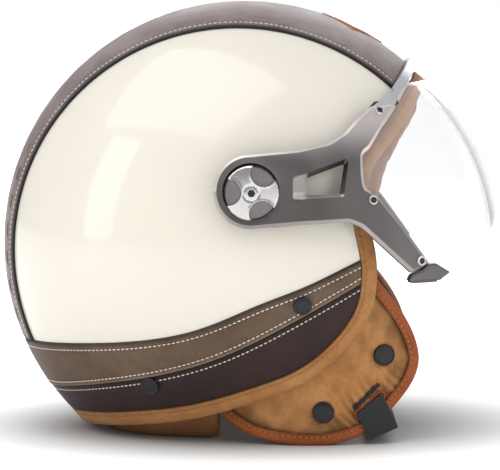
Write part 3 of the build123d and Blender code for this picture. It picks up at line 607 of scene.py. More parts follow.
def weave_group():
    """Crossed threads.  The mesh's own run gives metres along and across the cloth."""
    net, i, out = group(
        "weave",
        [("Color", "color", (0.02, 0.02, 0.02)), ("Pitch", "value", 900.0),
         ("Object Space", "value", 0.0)],
        [("Color", "color"), ("Roughness", "value"), ("Height", "value")],
    )
    run = net.add("Attribute", attribute_name="run").outputs["Vector"]
    at = net.add("TexCoord").outputs["Object"]
    pick = net.add("Mix", data_type="VECTOR")
    net.put(pick.inputs["Factor"], i["Object Space"])
    net.put(pick.inputs[4], run)
    net.put(pick.inputs[5], at)
    part = net.add("SeparateXYZ", Vector=pick.outputs[1])
    turn = net.math("MULTIPLY", i["Pitch"], math.pi)
    a = net.math("SINE", net.math("MULTIPLY", part.outputs[0], turn))
    b = net.math("SINE", net.math("MULTIPLY", net.math(
        "ADD", part.outputs[1], net.math("MULTIPLY", part.outputs[2], i["Object Space"])), turn))
    check = net.math("MULTIPLY", a, b)
    fast = net.add("TexNoise", Vector=at, Scale=2400.0, Detail=2.0, Roughness=0.7)
    slow = net.add("TexNoise", Vector=at, Scale=60.0, Detail=4.0, Roughness=0.6)
    height = net.math("ADD", net.math("MULTIPLY", check, 0.00012), net.math(
        "MULTIPLY", fast.outputs[0], 0.0001))
    shade = net.math("MULTIPLY", net.ramp(check, -1.0, 1.0, 0.86, 1.12),
                     net.ramp(slow.outputs[0], 0.3, 0.7, 0.86, 1.16))
    net.put(out.inputs["Color"], multiplied(net, i["Color"], shade))
    net.put(out.inputs["Roughness"], net.ramp(fast.outputs[0], 0.2, 0.8, 0.7, 0.9))
    net.put(out.inputs["Height"], height)
    return net.tree


for old in list(bpy.data.materials):
    bpy.data.materials.remove(old)
LEATHER, DRIFT, WEAVE = leather_group(), drift_group(), weave_group()


def finish_from(name, tree, values):
    """A new material holding one shared group: the material, its net and the group node."""
    mat = bpy.data.materials.new(name)
    mat.use_nodes = True
    mat.node_tree.nodes.clear()
    net = Net(mat.node_tree)
    look_node = mat.node_tree.nodes.new("ShaderNodeGroup")
    look_node.node_tree = tree
    for key, value in values.items():
        net.put(look_node.inputs[key.replace("_", " ")], value)
    return mat, net, look_node


def material(name, tree, values, bump=0.5, **shader):
    """A material on the Principled shader, its look from one shared group."""
    mat, net, look_node = finish_from(name, tree, values)
    rise = net.add("Bump", Height=look_node.outputs["Height"], Strength=bump, Distance=1.0)
    main = net.add("BsdfPrincipled")
    net.put(main.inputs["Base Color"], look_node.outputs["Color"])
    net.put(main.inputs["Roughness"], look_node.outputs["Roughness"])
    net.put(main.inputs["Normal"], rise.outputs[0])
    for key, value in shader.items():
        net.put(main.inputs[key.replace("_", " ")], value)
    net.add("OutputMaterial", Surface=main.outputs[0])
    return mat


def leather(name, color, worn, grain=900.0, wear=0.5, roughness=0.5, fuzz=0.0, bump=0.6, **more):
    more.setdefault("Specular_IOR_Level", 0.28)
    return material(name, LEATHER, dict(Color=color, Worn=worn, Grain=grain, Wear=wear,
                    Roughness=roughness, Fuzz=fuzz), bump, **more)


def hard(name, color, spread=0.06, roughness=0.4, grain=1500.0, depth=0.2, bump=0.5, **more):
    return material(name, DRIFT, dict(Color=color, Spread=spread, Roughness=roughness,
                    Grain=grain, Depth=depth), bump, **more)


M = {
    "shell_paint": hard("shell_paint", (0.745, 0.70, 0.615), 0.010, 0.34, 500.0, 0.05,
                        Coat_Weight=0.9, Coat_Roughness=0.06),
    "strip_leather": leather("strip_leather", (0.155, 0.108, 0.102), (0.27, 0.22, 0.215), 820.0,
                             0.8, 0.44, Specular_IOR_Level=0.5),
    "black_piping": leather("black_piping", (0.010, 0.010, 0.011), (0.02, 0.02, 0.02), 1100.0,
                            0.3, 0.36),
    "taupe_leather": leather("taupe_leather", (0.110, 0.066, 0.039), (0.165, 0.112, 0.072), 760.0,
                             0.7, 0.52),
    "dark_leather": leather("dark_leather", (0.022, 0.0085, 0.0075), (0.040, 0.018, 0.015), 760.0,
                            0.6, 0.46),
    "tan_suede": leather("tan_suede", (0.40, 0.175, 0.052), (0.52, 0.26, 0.095), 1500.0, 0.7,
                         0.72, 0.8, Sheen_Weight=0.08, Sheen_Roughness=0.5),
    "rust_leather": leather("rust_leather", (0.31, 0.072, 0.014), (0.42, 0.125, 0.03), 950.0,
                            0.6, 0.46),
    "lining_leather": leather("lining_leather", (0.30, 0.125, 0.05), (0.40, 0.19, 0.085), 900.0,
                              0.6, 0.6, 0.3),
    "lining_cloth": material("lining_cloth", WEAVE, dict(Color=(0.20, 0.105, 0.055), Pitch=700.0,
                             Object_Space=1.0), 0.7, Sheen_Weight=0.2),
    "foam": hard("foam", (0.03, 0.03, 0.032), 0.25, 0.85, 420.0, 2.0, 0.8),
    "webbing": material("webbing", WEAVE, dict(Color=(0.016, 0.016, 0.018), Pitch=1150.0,
                        Object_Space=1.0), 0.35,
                        Sheen_Weight=0.15),
    "black_metal": hard("black_metal", (0.012, 0.012, 0.014), 0.08, 0.30, Specular_IOR_Level=0.35),
    "bright_steel": hard("bright_steel", (0.62, 0.61, 0.60), 0.05, 0.24, Metallic=1.0),
    "black_plastic": hard("black_plastic", (0.014, 0.014, 0.015), 0.1, 0.5, 900.0, 0.8),
    "gunmetal": hard("gunmetal", (0.150, 0.138, 0.136), 0.07, 0.42, 2600.0, 0.6, Metallic=1.0),
    "satin_silver": hard("satin_silver", (0.60, 0.61, 0.64), 0.05, 0.30, Metallic=1.0),
    "knob_chrome": hard("knob_chrome", (0.55, 0.54, 0.53), 0.04, 0.12, Metallic=1.0),
    "knob_satin": hard("knob_satin", (0.22, 0.21, 0.205), 0.12, 0.45, 1400.0, 2.5, 0.8,
                       Metallic=1.0),
    "thread": hard("thread", (0.66, 0.62, 0.55), 0.12, 0.7, 2200.0, 2.0, Sheen_Weight=0.2),
    "copper_thread": hard("copper_thread", (0.45, 0.17, 0.05), 0.15, 0.6, 2200.0, 2.0),
    "orange_thread": hard("orange_thread", (0.42, 0.15, 0.035), 0.12, 0.65, 2200.0, 2.0),
    "black_thread": hard("black_thread", (0.014, 0.013, 0.013), 0.2, 0.6, 2200.0, 2.0),
}


def clear_visor():
    """Thin clear plastic that lets soft light straight through."""
    mat, net, look_node = finish_from("clear_visor", DRIFT, dict(
        Color=(0.97, 0.98, 0.985), Spread=0.01, Roughness=0.04, Grain=700.0, Depth=0.02))
    glass = net.add("BsdfPrincipled", Metallic=0.0, IOR=1.06)
    net.put(glass.inputs["Transmission Weight"], 0.90)
    net.put(glass.inputs["Base Color"], look_node.outputs["Color"])
    net.put(glass.inputs["Roughness"], look_node.outputs["Roughness"])
    clear = net.add("BsdfTransparent", Color=(0.95, 0.955, 0.96))
    path = net.add("LightPath")
    soft = net.math("MAXIMUM", path.outputs["Is Shadow Ray"], path.outputs["Is Diffuse Ray"])
    blend = net.add("MixShader")
    net.put(blend.inputs[0], soft)
    net.put(blend.inputs[1], glass.outputs[0])
    net.put(blend.inputs[2], clear.outputs[0])
    net.add("OutputMaterial", Surface=blend.outputs[0])
    return mat


M["clear_visor"] = clear_visor()

floor_mat = hard("floor_white", (1.0, 1.0, 1.0), 0.0, 0.9, 100.0, 0.0)
net = Net(floor_mat.node_tree)
main = next(n for n in floor_mat.node_tree.nodes if n.type == "BSDF_PRINCIPLED")
# painted contact shadow: close to the helmet the floor's colour is darker and its glow fades out; farther away the
# floor glows white
spot = net.add("SeparateXYZ", Vector=net.add("TexCoord").outputs["Object"])
reach = net.math("POWER", net.math("ADD", net.math(
    "POWER", net.math("DIVIDE", spot.outputs[0], 0.16), 2.0), net.math(
    "POWER", net.math("DIVIDE", spot.outputs[1], 0.12), 2.0)), 0.5)
main.inputs["Emission Color"].default_value = (1, 1, 1, 1)
net.put(main.inputs["Emission Strength"], net.ramp(reach, 0.8, 2.3, 0.0, 0.42))
painted_shading = net.ramp(reach, 0.62, 1.25, 0.45, 1.0)
net.put(main.inputs["Base Color"], net.add("CombineColor", Red=painted_shading, Green=painted_shading, Blue=painted_shading))
FLOOR_SIDE, FLOOR_BACK = 9000, 30000
floor = make("floor", [[-FLOOR_SIDE, -FLOOR_SIDE, FLOOR], [FLOOR_SIDE, -FLOOR_SIDE, FLOOR],
                       [FLOOR_SIDE, FLOOR_BACK, FLOOR], [-FLOOR_SIDE, FLOOR_BACK, FLOOR]],
             [[0, 1, 2, 3]], floor_mat)
floor.parent = None

world = bpy.data.worlds.new("studio")
scene.world = world
world.use_nodes = True
world.node_tree.nodes.clear()
net = Net(world.node_tree)
heading = net.add("SeparateXYZ", Vector=net.add("TexCoord").outputs["Generated"])
level = net.math("MAXIMUM", net.ramp(heading.outputs[2], -0.3, 0.9, 0.34, 0.80),
                 net.ramp(heading.outputs[1], 0.55, 0.9, 0.0, 1.0))
path = net.add("LightPath")
clear = net.math("MAXIMUM", path.outputs["Is Camera Ray"], path.outputs["Is Transmission Ray"])
seen = net.mix(clear, level, (1.0, 1.0, 1.0))
back = net.add("Background", Color=seen, Strength=1.0)
net.add("OutputWorld", Surface=back.outputs[0])


# ------------------------------------------------------------------ outlines, side view
SHELL_EDGE = smooth([(-175, -124), (-107, -113), (-68, -107), (-30, -100), (11, -87), (36, -76.5),
                     (53, -64), (69, -46), (76.5, -31), (79, -15), (78.5, 0), (75.5, 15), (73, 31),
                     (74, 46), (79, 57.5), (94, 75.5), (107, 94), (125, 117)], 1500)
BAND_TOP = smooth([(-175, -62), (-141, -60), (-111, -57), (-69, -52.5), (-28, -43.5), (10, -27.5),
                   (36, -17.5), (62, -5.5), (100, 11)], 1200)
BAND_SEAM = smooth([(-175, -94), (-125, -89), (-96, -83), (-59, -75), (-18, -62.5), (10, -49.5),
                    (36, -35.5), (62, -21), (100, 1)], 1200)


def until_binding(curve, reach=6.0):
    """The curve up to where it goes under the binding at the face opening."""
    near = gap(curve, SHELL_EDGE, closed=False) < reach
    near &= curve[:, 0] > 0
    stop = int(np.argmax(near)) if near.any() else len(curve)
    return curve[:stop]


def roll(d, radius, full):
    """Height of a rolled edge at a distance d from it."""
    t = np.clip(np.asarray(d, float) / radius, 0, 1)
    return full * np.sqrt(np.clip(1 - (1 - t) ** 2, 0, 1))


def dip(d, at, width, depth):
    """Depth of a pressed line at a distance d from an edge."""
    return -depth * np.exp(-((np.asarray(d, float) - at) / width) ** 2)


def declare(ob, slot_name, *nodes):
    """Hides the CAD nodes that a piece stands for. slot_name is not used."""
    if nodes:
        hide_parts(*nodes)
    return ob


def shade_points(ob, values):
    """Painted shade of each vertex, negative values being painted highlights, read by the materials."""
    a = ob.data.attributes.new("shade", "FLOAT", "POINT")
    a.data.foreach_set("value", np.asarray(values, np.float32))


# ------------------------------------------------------------------ leather bands
UNDERSIDE = -0.4


def band(name, node, top, bottom, top_roll, bottom_roll, dips, mat, full=2.1):
    """A band glued round the shell between two side-view curves.

    dips are (from_bottom, distance, depth) for each line of stitching."""
    top, bottom = spaced(top, 1500), spaced(bottom, 1500)
    s = np.concatenate([
        np.linspace(0, 0.10, 7), np.linspace(0.10, 0.42, 10)[1:], np.linspace(0.42, 0.86, 10)[1:],
        np.linspace(0.86, 1, 12)[1:],
    ])
    cols = 560
    rows, dark = [], []
    for f in s:
        curve = top * (1 - f) + bottom * f
        p, n = shell.trace(curve, cols)
        side_spots = p[:, [0, 2]]
        dt = gap(side_spots, np.vstack([top[::12], top[-1:]]), closed=False)
        db = gap(side_spots, np.vstack([bottom[::12], bottom[-1:]]), closed=False)
        under = gap(side_spots, SHELL_EDGE[::8], closed=False)
        if f == s[0]:
            dt = dt * 0
        if f == s[-1]:
            db = db * 0
        h = roll(dt, top_roll, full) if top_roll else full + 0 * dt
        if bottom_roll:
            h = np.minimum(h, roll(db, bottom_roll, full + 0.35))
            h += 0.35 * np.exp(-(db / 2.6) ** 2) * (db > 0.4)
        for from_bottom, at, depth in dips:
            h = h + dip(db if from_bottom else dt, at, 0.9, depth)
        h = np.minimum(h, 0.3 + np.maximum(under - 8.2, 0) * 1.6)
        rows.append(p + n * h[:, None])
        # painted shade along each band's top and bottom edges and in its stitch lines, and on the upper band a
        # painted highlight on the rolled fold just above its bottom edge
        d = 0.6 * np.exp(-(dt / 2.0) ** 4) if top_roll else 0.75 * np.exp(-(dt / 1.5) ** 2)
        d = d + (-0.55 * np.exp(-((db - 1.0) / 0.9) ** 2) + 0.5 * np.exp(-(db / 0.35) ** 2)
                 if bottom_roll else 0.6 * np.exp(-(db / 3.2) ** 2))
        for from_bottom, at, depth in dips:
            d = d + 0.22 * np.exp(-(((db if from_bottom else dt) - at) / 0.9) ** 2)
        dark.append(np.clip(d, -0.7, 0.8))
    # the hidden underside rows get painted shade
    for curve in (bottom, top):
        p, n = shell.trace(curve, cols)
        rows.append(p + UNDERSIDE * n)
        dark.append(np.full(len(p), 0.6))
    ob = solid_rows(name, rows[::-1], mat)
    shade_points(ob, np.concatenate(dark[::-1]))
    return declare(ob, mat.name, node)


def sewn_line(name, curve, height):
    """A row of pale stitches along a side-view curve on the shell."""
    p, n = shell.trace(curve, 900)
    declare(stitches(name, p + n * height, n, M["thread"], pitch=3.1, length=2.4, radius=0.40),
            "strip_leather")


SEAM_REACH = 8.4
top_line = until_binding(BAND_TOP)
seam_line = until_binding(BAND_SEAM)
BINDING_LAP = 6.8
lap_line = beside(SHELL_EDGE, BINDING_LAP)
meet = int(np.argmin(np.linalg.norm(lap_line - seam_line[-1], axis=1)))
band("upper_band_leather", "upper_band", top_line, seam_line, 1.7, 1.3,
     [(False, 4.0, 0.34), (True, 3.2, 0.30)], M["taupe_leather"])
band("lower_band_leather", "lower_band", seam_line, lap_line[:meet], 0, 0,
     [(False, 3.0, 0.30)], M["dark_leather"], full=1.75)
sewn_line("stitches_band_top", until_binding(beside(BAND_TOP, -4.0), SEAM_REACH), 1.95)
sewn_line("stitches_seam_upper", until_binding(beside(BAND_SEAM, 3.2), SEAM_REACH), 2.15)
sewn_line("stitches_seam_lower", until_binding(beside(BAND_SEAM, -3.0), SEAM_REACH), 1.6)

# ------------------------------------------------------------------ edge binding
# section of the binding: distance in from the shell's edge, height and painted shade
binding_section = [
    (8.5, -0.3, 0.75), (8.45, 0.7, 0.6), (8.1, 1.5, 0.3), (7.4, 2.0, 0.1), (6.7, 2.0, 0.1),
    (6.25, 1.75, 0.25), (6.0, 1.68, 0.3), (5.75, 1.75, 0.25), (5.3, 2.05, 0.08), (4.2, 2.3, 0),
    (2.6, 2.42, 0), (1.0, 2.3, 0), (-0.3, 1.95, 0), (-1.1, 1.3, 0.05), (-1.6, 0.4, 0.12),
    (-1.8, -1.0, 0.2), (-1.8, -2.6, 0.3), (-1.5, -3.9, 0.35), (-0.7, -4.9, 0.4),
    (0.8, -5.3, 0.45), (4.0, -5.4, 0.5), (7.0, -5.3, 0.6), (7.6, -4.4, 0.7), (7.4, -2.0, 0.8),
]
rows, dark = [], []
for offset, high, d in binding_section:
    p, n = shell.trace(beside(SHELL_EDGE, offset), 700, loop=True)
    run = np.arange(len(p)) / len(p) * 2 * math.pi
    ripple = 0.10 * np.sin(run * 61) + 0.08 * np.sin(run * 97 + 1.0) + 0.06 * np.sin(run * 151)
    rows.append(p + n * (high + ripple * (high > 0.5))[:, None])
    dark.append(np.full(len(p), d))
binding = solid_rows("edge_binding", rows, M["tan_suede"], loop=True)
shade_points(binding, np.concatenate(dark))
declare(binding, "tan_suede", "rim_binding")
p, n = shell.trace(beside(SHELL_EDGE, 6.0), 900, loop=True)
declare(stitches("stitches_binding", p + n * 1.75, n, M["orange_thread"], pitch=4.0, length=3.1,
                 radius=0.45, loop=True), "tan_suede")


# ------------------------------------------------------------------ centre strip
def angle_at(curve, reach):
    """Angle about the cross axis where a side-view curve has this distance from the centre."""
    r = np.hypot(curve[:, 0], curve[:, 1])
    a = np.unwrap(np.arctan2(curve[:, 1], curve[:, 0]))
    order = np.argsort(r)
    return np.interp(reach, r[order], a[order])


BROW_SET_BACK = 16.5
brow_line = beside(SHELL_EDGE, BROW_SET_BACK)
brow_line = brow_line[brow_line[:, 1] > 45]
rear_line = BAND_TOP[BAND_TOP[:, 0] < -60]
STRIP_HALF, STRIP_FLARE = 43, 11
FLARE_AT = math.radians(40)


def on_strip(y_of, t, height):
    """Points and normals on the shell at cross positions y_of(half_width), t from brow to rear."""
    half = np.full(len(t), 45.0)
    for _ in range(6):
        y = y_of(half)
        k = np.interp(np.abs(y), shell.across[::-1], np.arange(len(shell.across))[::-1])
        reach = np.interp(k, np.arange(len(shell.reach)), shell.reach)
        front = angle_at(brow_line, reach)
        rear = angle_at(rear_line, reach) % (2 * math.pi)
        phi = front + (rear - front) * t
        half = STRIP_HALF + STRIP_FLARE * reach * np.cos(phi - FLARE_AT) / SHELL_RADIUS
    nr = np.interp(k, np.arange(len(shell.nr)), shell.nr)
    ny = np.interp(k, np.arange(len(shell.ny)), shell.ny)
    n = np.stack([nr * np.cos(phi), np.sign(y) * ny, nr * np.sin(phi)], axis=1)
    n /= np.linalg.norm(n, axis=1)[:, None]
    p = np.stack([reach * np.cos(phi), y, reach * np.sin(phi)], axis=1)
    return p + n * np.reshape(height, (-1, 1)), n


cols = 520
t = np.concatenate([[0, 0.0008, 0.002, 0.004], np.linspace(0.006, 0.994, cols - 8),
                    [0.996, 0.998, 0.9992, 1.0]])
STRIP_LENGTH = 330.0
ends = np.minimum(t, 1 - t) * STRIP_LENGTH
edge_steps = [0.0, 0.3, 0.7, 1.2, 1.7, 2.1, 2.4, 2.7, 3.1, 4.2, 6.2, 9.0]
inner_steps = [0.76, 0.6, 0.45, 0.3, 0.15]
MIDDLE_IN = 12.0
rows, dark = [], []


SEAM_IN = 2.4


def strip_row(y_of, dist, height=None):
    """One lengthwise row of the strip, dist in from its edge."""
    h = float(roll(dist, 1.6, 2.1)) * roll(ends + 0.02, 1.5, 1.0)
    h = h + dip(dist, SEAM_IN, 0.8, 0.3) + 0.05 * np.sin(t * 140 + dist)
    if height is not None:
        h = height
    p, _ = on_strip(y_of, t, h)
    rows.append(p)
    # painted shade at the strip's edges and along its seam line, and at its two ends
    painted_edge_shade = 0.5 * math.exp(-dist**2) + 0.2 * math.exp(-((dist - SEAM_IN) / 0.8) ** 2)
    dark.append(np.clip(painted_edge_shade + 0.4 * np.exp(-(ends / 1.2) ** 2), 0, 0.8))


def edge_row(side, e, height=None):
    strip_row(lambda half: side * (half - e), e, height)


def inner_row(side, fraction):
    strip_row(lambda half: side * fraction * half, MIDDLE_IN)


for e in edge_steps:
    edge_row(-1, e)
for f in inner_steps:
    inner_row(-1, f)
inner_row(1, 0.001)
for f in inner_steps[::-1]:
    inner_row(1, f)
for e in edge_steps[::-1]:
    edge_row(1, e)
edge_row(1, 0.0, UNDERSIDE)
edge_row(-1, 0.0, UNDERSIDE)
strip = solid_rows("strip_leather_skin", rows, M["strip_leather"])
shade_points(strip, np.concatenate(dark))
declare(strip, "strip_leather", "center_strip")
t_line = np.linspace(0.006, 0.994, 1200)
for side, word in SIDES:
    p, n = on_strip(lambda half: side * (half - SEAM_IN), t_line, 1.95)
    declare(stitches(f"stitches_strip_{word}", p, n, M["thread"], pitch=3.2, length=2.5,
                     radius=0.42), "strip_leather")
    p, n = on_strip(lambda half: side * (half + 0.75), np.linspace(0, 1, 420), 0.55)
    declare(tube(f"piping_{word}", p, 1.0, M["black_piping"], sides=10, normals=n),
            "black_piping", *(["strip_piping"] if side < 0 else []))

# raised copper emblem on the strip: two nested diamonds; the small loop at each tip is not drawn
for k, (half_w, half_l) in enumerate(((17.0, 0.050), (10.5, 0.031))):
    corners = [(0, -half_l), (half_w, 0), (0, half_l), (-half_w, 0), (0, -half_l)]
    line = spaced(np.array(corners) * [1, 340], 240) / [1, 340]
    p, n = on_strip(lambda half: line[:, 0] + 1e-6, 0.098 + line[:, 1], 2.35)
    declare(tube(f"emblem_{k}", p, 0.8, M["copper_thread"], sides=8, squash=0.55, normals=n),
            "strip_leather")


# ------------------------------------------------------------------ ear flaps
FLAP_EDGE = smooth([(77, -9), (88, -24), (97, -36), (103, -46.5), (107.5, -59), (108.4, -67.5),
                    (106, -77), (100, -86.7), (92, -96), (75, -111), (62.5, -115.6),
                    (50, -118.0), (31, -118.0), (19, -116.4), (6, -113.4), (-6.7, -106.8),
                    (-15, -99), (-17, -92)], 420)
FLAP_STUDS = ((85.8, -62.7), (48.3, -97.5))
SHELL_STUDS = ((-57.5, -79.5), (34.7, -28.3))
FLAP_BACK = -7.9
FLAP_SEAM_IN = 5.0
EDGING_POINTS = 330
FLAP_ROOT = np.array([(-2, -87), (20, -79), (50, -57), (64, -12)], float)
SLIT = np.array([(69.6, -100.0), (85.3, -87.5)])
SLIT_RUN = (SLIT[1] - SLIT[0]) / np.linalg.norm(SLIT[1] - SLIT[0])
SLIT_SIDE = np.array([-SLIT_RUN[1], SLIT_RUN[0]])
flap_outline = np.vstack([beside(FLAP_EDGE, -3.0)[::4], FLAP_ROOT])
slit_hole = rounded([SLIT[0] - 2.2 * SLIT_SIDE - SLIT_RUN, SLIT[1] - 2.2 * SLIT_SIDE + SLIT_RUN,
                     SLIT[1] + 2.2 * SLIT_SIDE + SLIT_RUN, SLIT[0] + 2.2 * SLIT_SIDE - SLIT_RUN],
                    2.0)
flap_v, flap_f = relief(dense(flap_outline, 2.0), [dense(slit_hole, 1.0)], 1.6)


def flap_height(xz):
    """How far the padded leather stands off the flap's flat face, and how far each point lies
    from the flap's edge and from the slit."""
    d = gap(xz, FLAP_EDGE[::4], closed=False)
    s = gap(xz, SLIT, closed=False)
    along = (xz - SLIT[0]) @ SLIT_RUN
    off = (xz - SLIT[0]) @ SLIT_SIDE
    puff = 1.5 * (1 - np.exp(-(np.maximum(d - 6.5, 0) / 9.0) ** 2)) - 0.5 * np.exp(
        -((d - 7.0) / 1.2) ** 2)
    pull = -1.1 * np.exp(-(s / 4.5) ** 2)
    away = np.exp(-(np.maximum(s - 3, 0) / 13.0) ** 2)
    folds = 0.9 * away * np.sin(along * 1.25 + 1.2 * np.sin(off * 0.2)) * (1 - np.exp(
        -(s / 3.0) ** 2))
    bend = xz @ np.array([0.55, 0.83])
    waves = 0.42 * np.sin(bend * 0.33 + 1.6 * np.sin(xz[:, 0] * 0.09)) + 0.22 * np.sin(
        xz[:, 0] * 0.42 - xz[:, 1] * 0.23)
    dents = 0
    for spot in FLAP_STUDS:
        r = np.hypot(xz[:, 0] - spot[0], xz[:, 1] - spot[1])
        dents = dents - 1.0 * np.exp(-(r / 8.5) ** 2)
    return np.maximum(puff + pull + folds + waves + dents, -0.4), d, s


flap_z, flap_d, flap_s = flap_height(flap_v)
for hand, word in SIDES:
    top, _ = flap_at(flap_v, hand, flap_z)
    bottom, _ = flap_at(flap_v, hand, np.full(len(flap_v), FLAP_BACK))
    ob = slab_mesh(f"flap_{word}_leather", flap_v, flap_f, top, bottom, M["tan_suede"], hand=hand)
    # painted shadow along the inner edge of the edging and round the slit, painted shade in the low parts of the
    # padding and a painted highlight on its raised parts; the back face gets painted shade
    shadow = 0.35 * np.exp(-((flap_d - 7.0) / 1.6) ** 2) + 0.3 * np.exp(-(flap_s / 3.0) ** 2)
    shadow += 0.35 * np.clip(0.9 - flap_z, -0.6, 1.2)
    shade_points(ob, np.concatenate([np.clip(shadow, -0.25, 0.7), np.full(len(flap_v), 0.2)]))
    declare(ob, "tan_suede", f"ear_flap_{word}")
    # edging folded over the flap's edge: distance in, height and painted shade
    section = [
        (7.0, -0.3, 0.7), (6.95, 0.6, 0.55), (6.6, 1.05, 0.2), (5.9, 1.15, 0.1), (5.3, 0.95, 0.2),
        (5.0, 0.9, 0.28), (4.7, 0.95, 0.2), (4.1, 1.2, 0.05), (2.8, 1.35, 0), (1.4, 1.15, 0),
        (0.4, 0.5, 0.05), (-0.2, -0.6, 0.15), (-0.35, -2.4, 0.25), (-0.35, -5.6, 0.3),
        (-0.2, -7.6, 0.35), (0.4, -8.5, 0.4), (1.6, -8.95, 0.45), (4.0, -9.0, 0.5),
        (6.8, -8.6, 0.6), (7.0, -7.0, 0.7),
    ]
    rows, dark = [], []
    for offset, high, d in section:
        line = spaced(beside(FLAP_EDGE, -offset), EDGING_POINTS)
        waver = 0.07 * np.sin(np.arange(EDGING_POINTS) * 0.9) * (high > 0.8)
        p, n = flap_at(line, hand, high + waver)
        rows.append(p)
        dark.append(np.full(EDGING_POINTS, d))
    order = 1 if hand > 0 else -1
    ob = solid_rows(f"edging_{word}", rows[::order], M["rust_leather"])
    shade_points(ob, np.concatenate(dark[::order]))
    declare(ob, "rust_leather", f"flap_edging_{word}")
    p, n = flap_at(spaced(beside(FLAP_EDGE, -FLAP_SEAM_IN), 500), hand, 1.0)
    declare(stitches(f"stitches_edging_{word}", p, n, M["orange_thread"], pitch=3.6, length=2.7,
                     radius=0.42), "rust_leather")
    # rolled lip round the strap's slit, and the bar of stitching above it
    loop = spaced(np.vstack([dense(slit_hole, 1.0), slit_hole[:1]]), 90)[:-1]
    p, n = flap_at(loop, hand, -0.3)
    declare(tube(f"slit_lip_{word}", p, 1.0, M["rust_leather"], sides=8, loop=True, normals=n),
            "rust_leather")
    zig = []
    for k in range(31):
        zig.append(np.array([66.8, -95.6]) + np.array([15.7, 14.9]) * k / 30
                   + SLIT_SIDE * (1.7 if k % 2 else -1.7))
    zig = spaced(np.array(zig), 300)
    z, _, _ = flap_height(zig)
    p, n = flap_at(zig, hand, z + 0.55)
    declare(tube(f"bar_tack_{word}", p, 0.42, M["black_thread"], sides=6, normals=n), "tan_suede")


def snap(name, point, normal, radius, node):
    """A black press stud with a turned rim."""
    profile = [(radius - 0.4, -1.2), (radius, -0.6), (radius, 1.2), (radius - 0.25, 1.7),
               (radius - 0.8, 1.95), (radius - 1.35, 1.75), (radius - 1.6, 1.45),
               (radius - 2.0, 1.5), (radius * 0.4, 1.72), (0.12, 1.78)]
    declare(lathe(name, point, normal, profile, M["black_metal"], around=48), "black_metal", node)


for hand, word in SIDES:
    for k, spot in enumerate(SHELL_STUDS):
        p, n = shell.at(np.array([spot]), hand, 2.0)
        snap(f"shell_stud_{word}_{k}", p[0], n[0], 5.7, "shell_snaps")
    for k, spot in enumerate(FLAP_STUDS):
        p, n = flap_at(np.array([spot]), hand, 0.9)
        snap(f"flap_stud_{word}_{k}", p[0], n[0], 6.8, "flap_snaps")

# ------------------------------------------------------------------ visor arms
HUB_RADIUS = 22
POCKET_RADIUS = 16.8
ARM_FACE, ARM_BACK = 4.6, 0.15
HUB_FACE_Y, HUB_BACK_Y = 125.6, 118.4
centre = PIVOT[[0, 2]]
hub_arc = [(centre[0] + HUB_RADIUS * math.cos(a), centre[1] + HUB_RADIUS * math.sin(a))
           for a in np.radians(np.linspace(-90, -259.5, 60))]
branch = rounded(
    [(0.0, 62.4), (31, 65), (50, 68.6), (59.5, 74), (67, 82), (76, 89.4), (91.9, 90.6),
     (83, 77.7), (74.7, 65), (70.4, 61.7), (70.8, 49.5), (71.8, 42), (80, 37), (93, 21),
     (111, -4), (100.4, -9.6), (87.5, 2.5), (77, 12.3), (69.6, 19.2), (62, 22.5), (35, 21.3),
     (4.0, 18.6)],
    [0, 20, 14, 14, 14, 3, 1.2, 12, 7, 6, 6, 6, 9, 20, 1.5, 1.5, 14, 14, 12, 10, 20, 0], 6)
arm_outline = dense(np.vstack([hub_arc, branch[1:-1]]), 1.3)
window = dense(rounded([(37, 49), (60, 57), (57, 39), (37, 38.8)], 1.0, 3), 1.2)
recess = dense(rounded([(28.5, 48.6), (62.0, 59.8), (58.8, 36.8), (28.5, 35.6)], 1.4, 3), 1.3)
ang = np.linspace(0, 2 * math.pi, 96, endpoint=False)
circle = np.stack([np.cos(ang), np.sin(ang)], axis=1)
pocket = centre + POCKET_RADIUS * circle


def inset(outline, amount):
    """The closed outline moved inwards."""
    d = np.roll(outline, -1, axis=0) - np.roll(outline, 1, axis=0)
    d /= np.linalg.norm(d, axis=1)[:, None]
    side = np.stack([-d[:, 1], d[:, 0]], axis=1)
    if not inside(outline + 0.05 * side, outline).mean() > 0.5:
        side = -side
    moved = outline + amount * side
    keep = (gap(moved, outline) > 0.97 * amount) & inside(moved, outline)
    return moved[keep]


CHAMFER = 1.7
RECESS_DEPTH = 3.0
arm_v, arm_f = relief(arm_outline, [window, pocket], 2.0,
                      [inset(arm_outline, CHAMFER), inset(arm_outline, CHAMFER + 0.45), recess,
                       inset(recess, 0.4)])
edge_d = gap(arm_v, arm_outline)
rec_in = inside(arm_v, recess) & (gap(arm_v, recess) > 1e-3)
rec_d, win_d = gap(arm_v, recess), gap(arm_v, window)
hub_d = np.hypot(*(arm_v - centre).T)
sunk = 1.5 * (1 - np.clip(edge_d / CHAMFER, 0, 1)) + 0.5 * np.clip((17.5 - hub_d) / 0.7, 0, 1)
sunk = np.where(rec_in, RECESS_DEPTH * rec_d / np.maximum(rec_d + win_d, 1e-6), sunk)
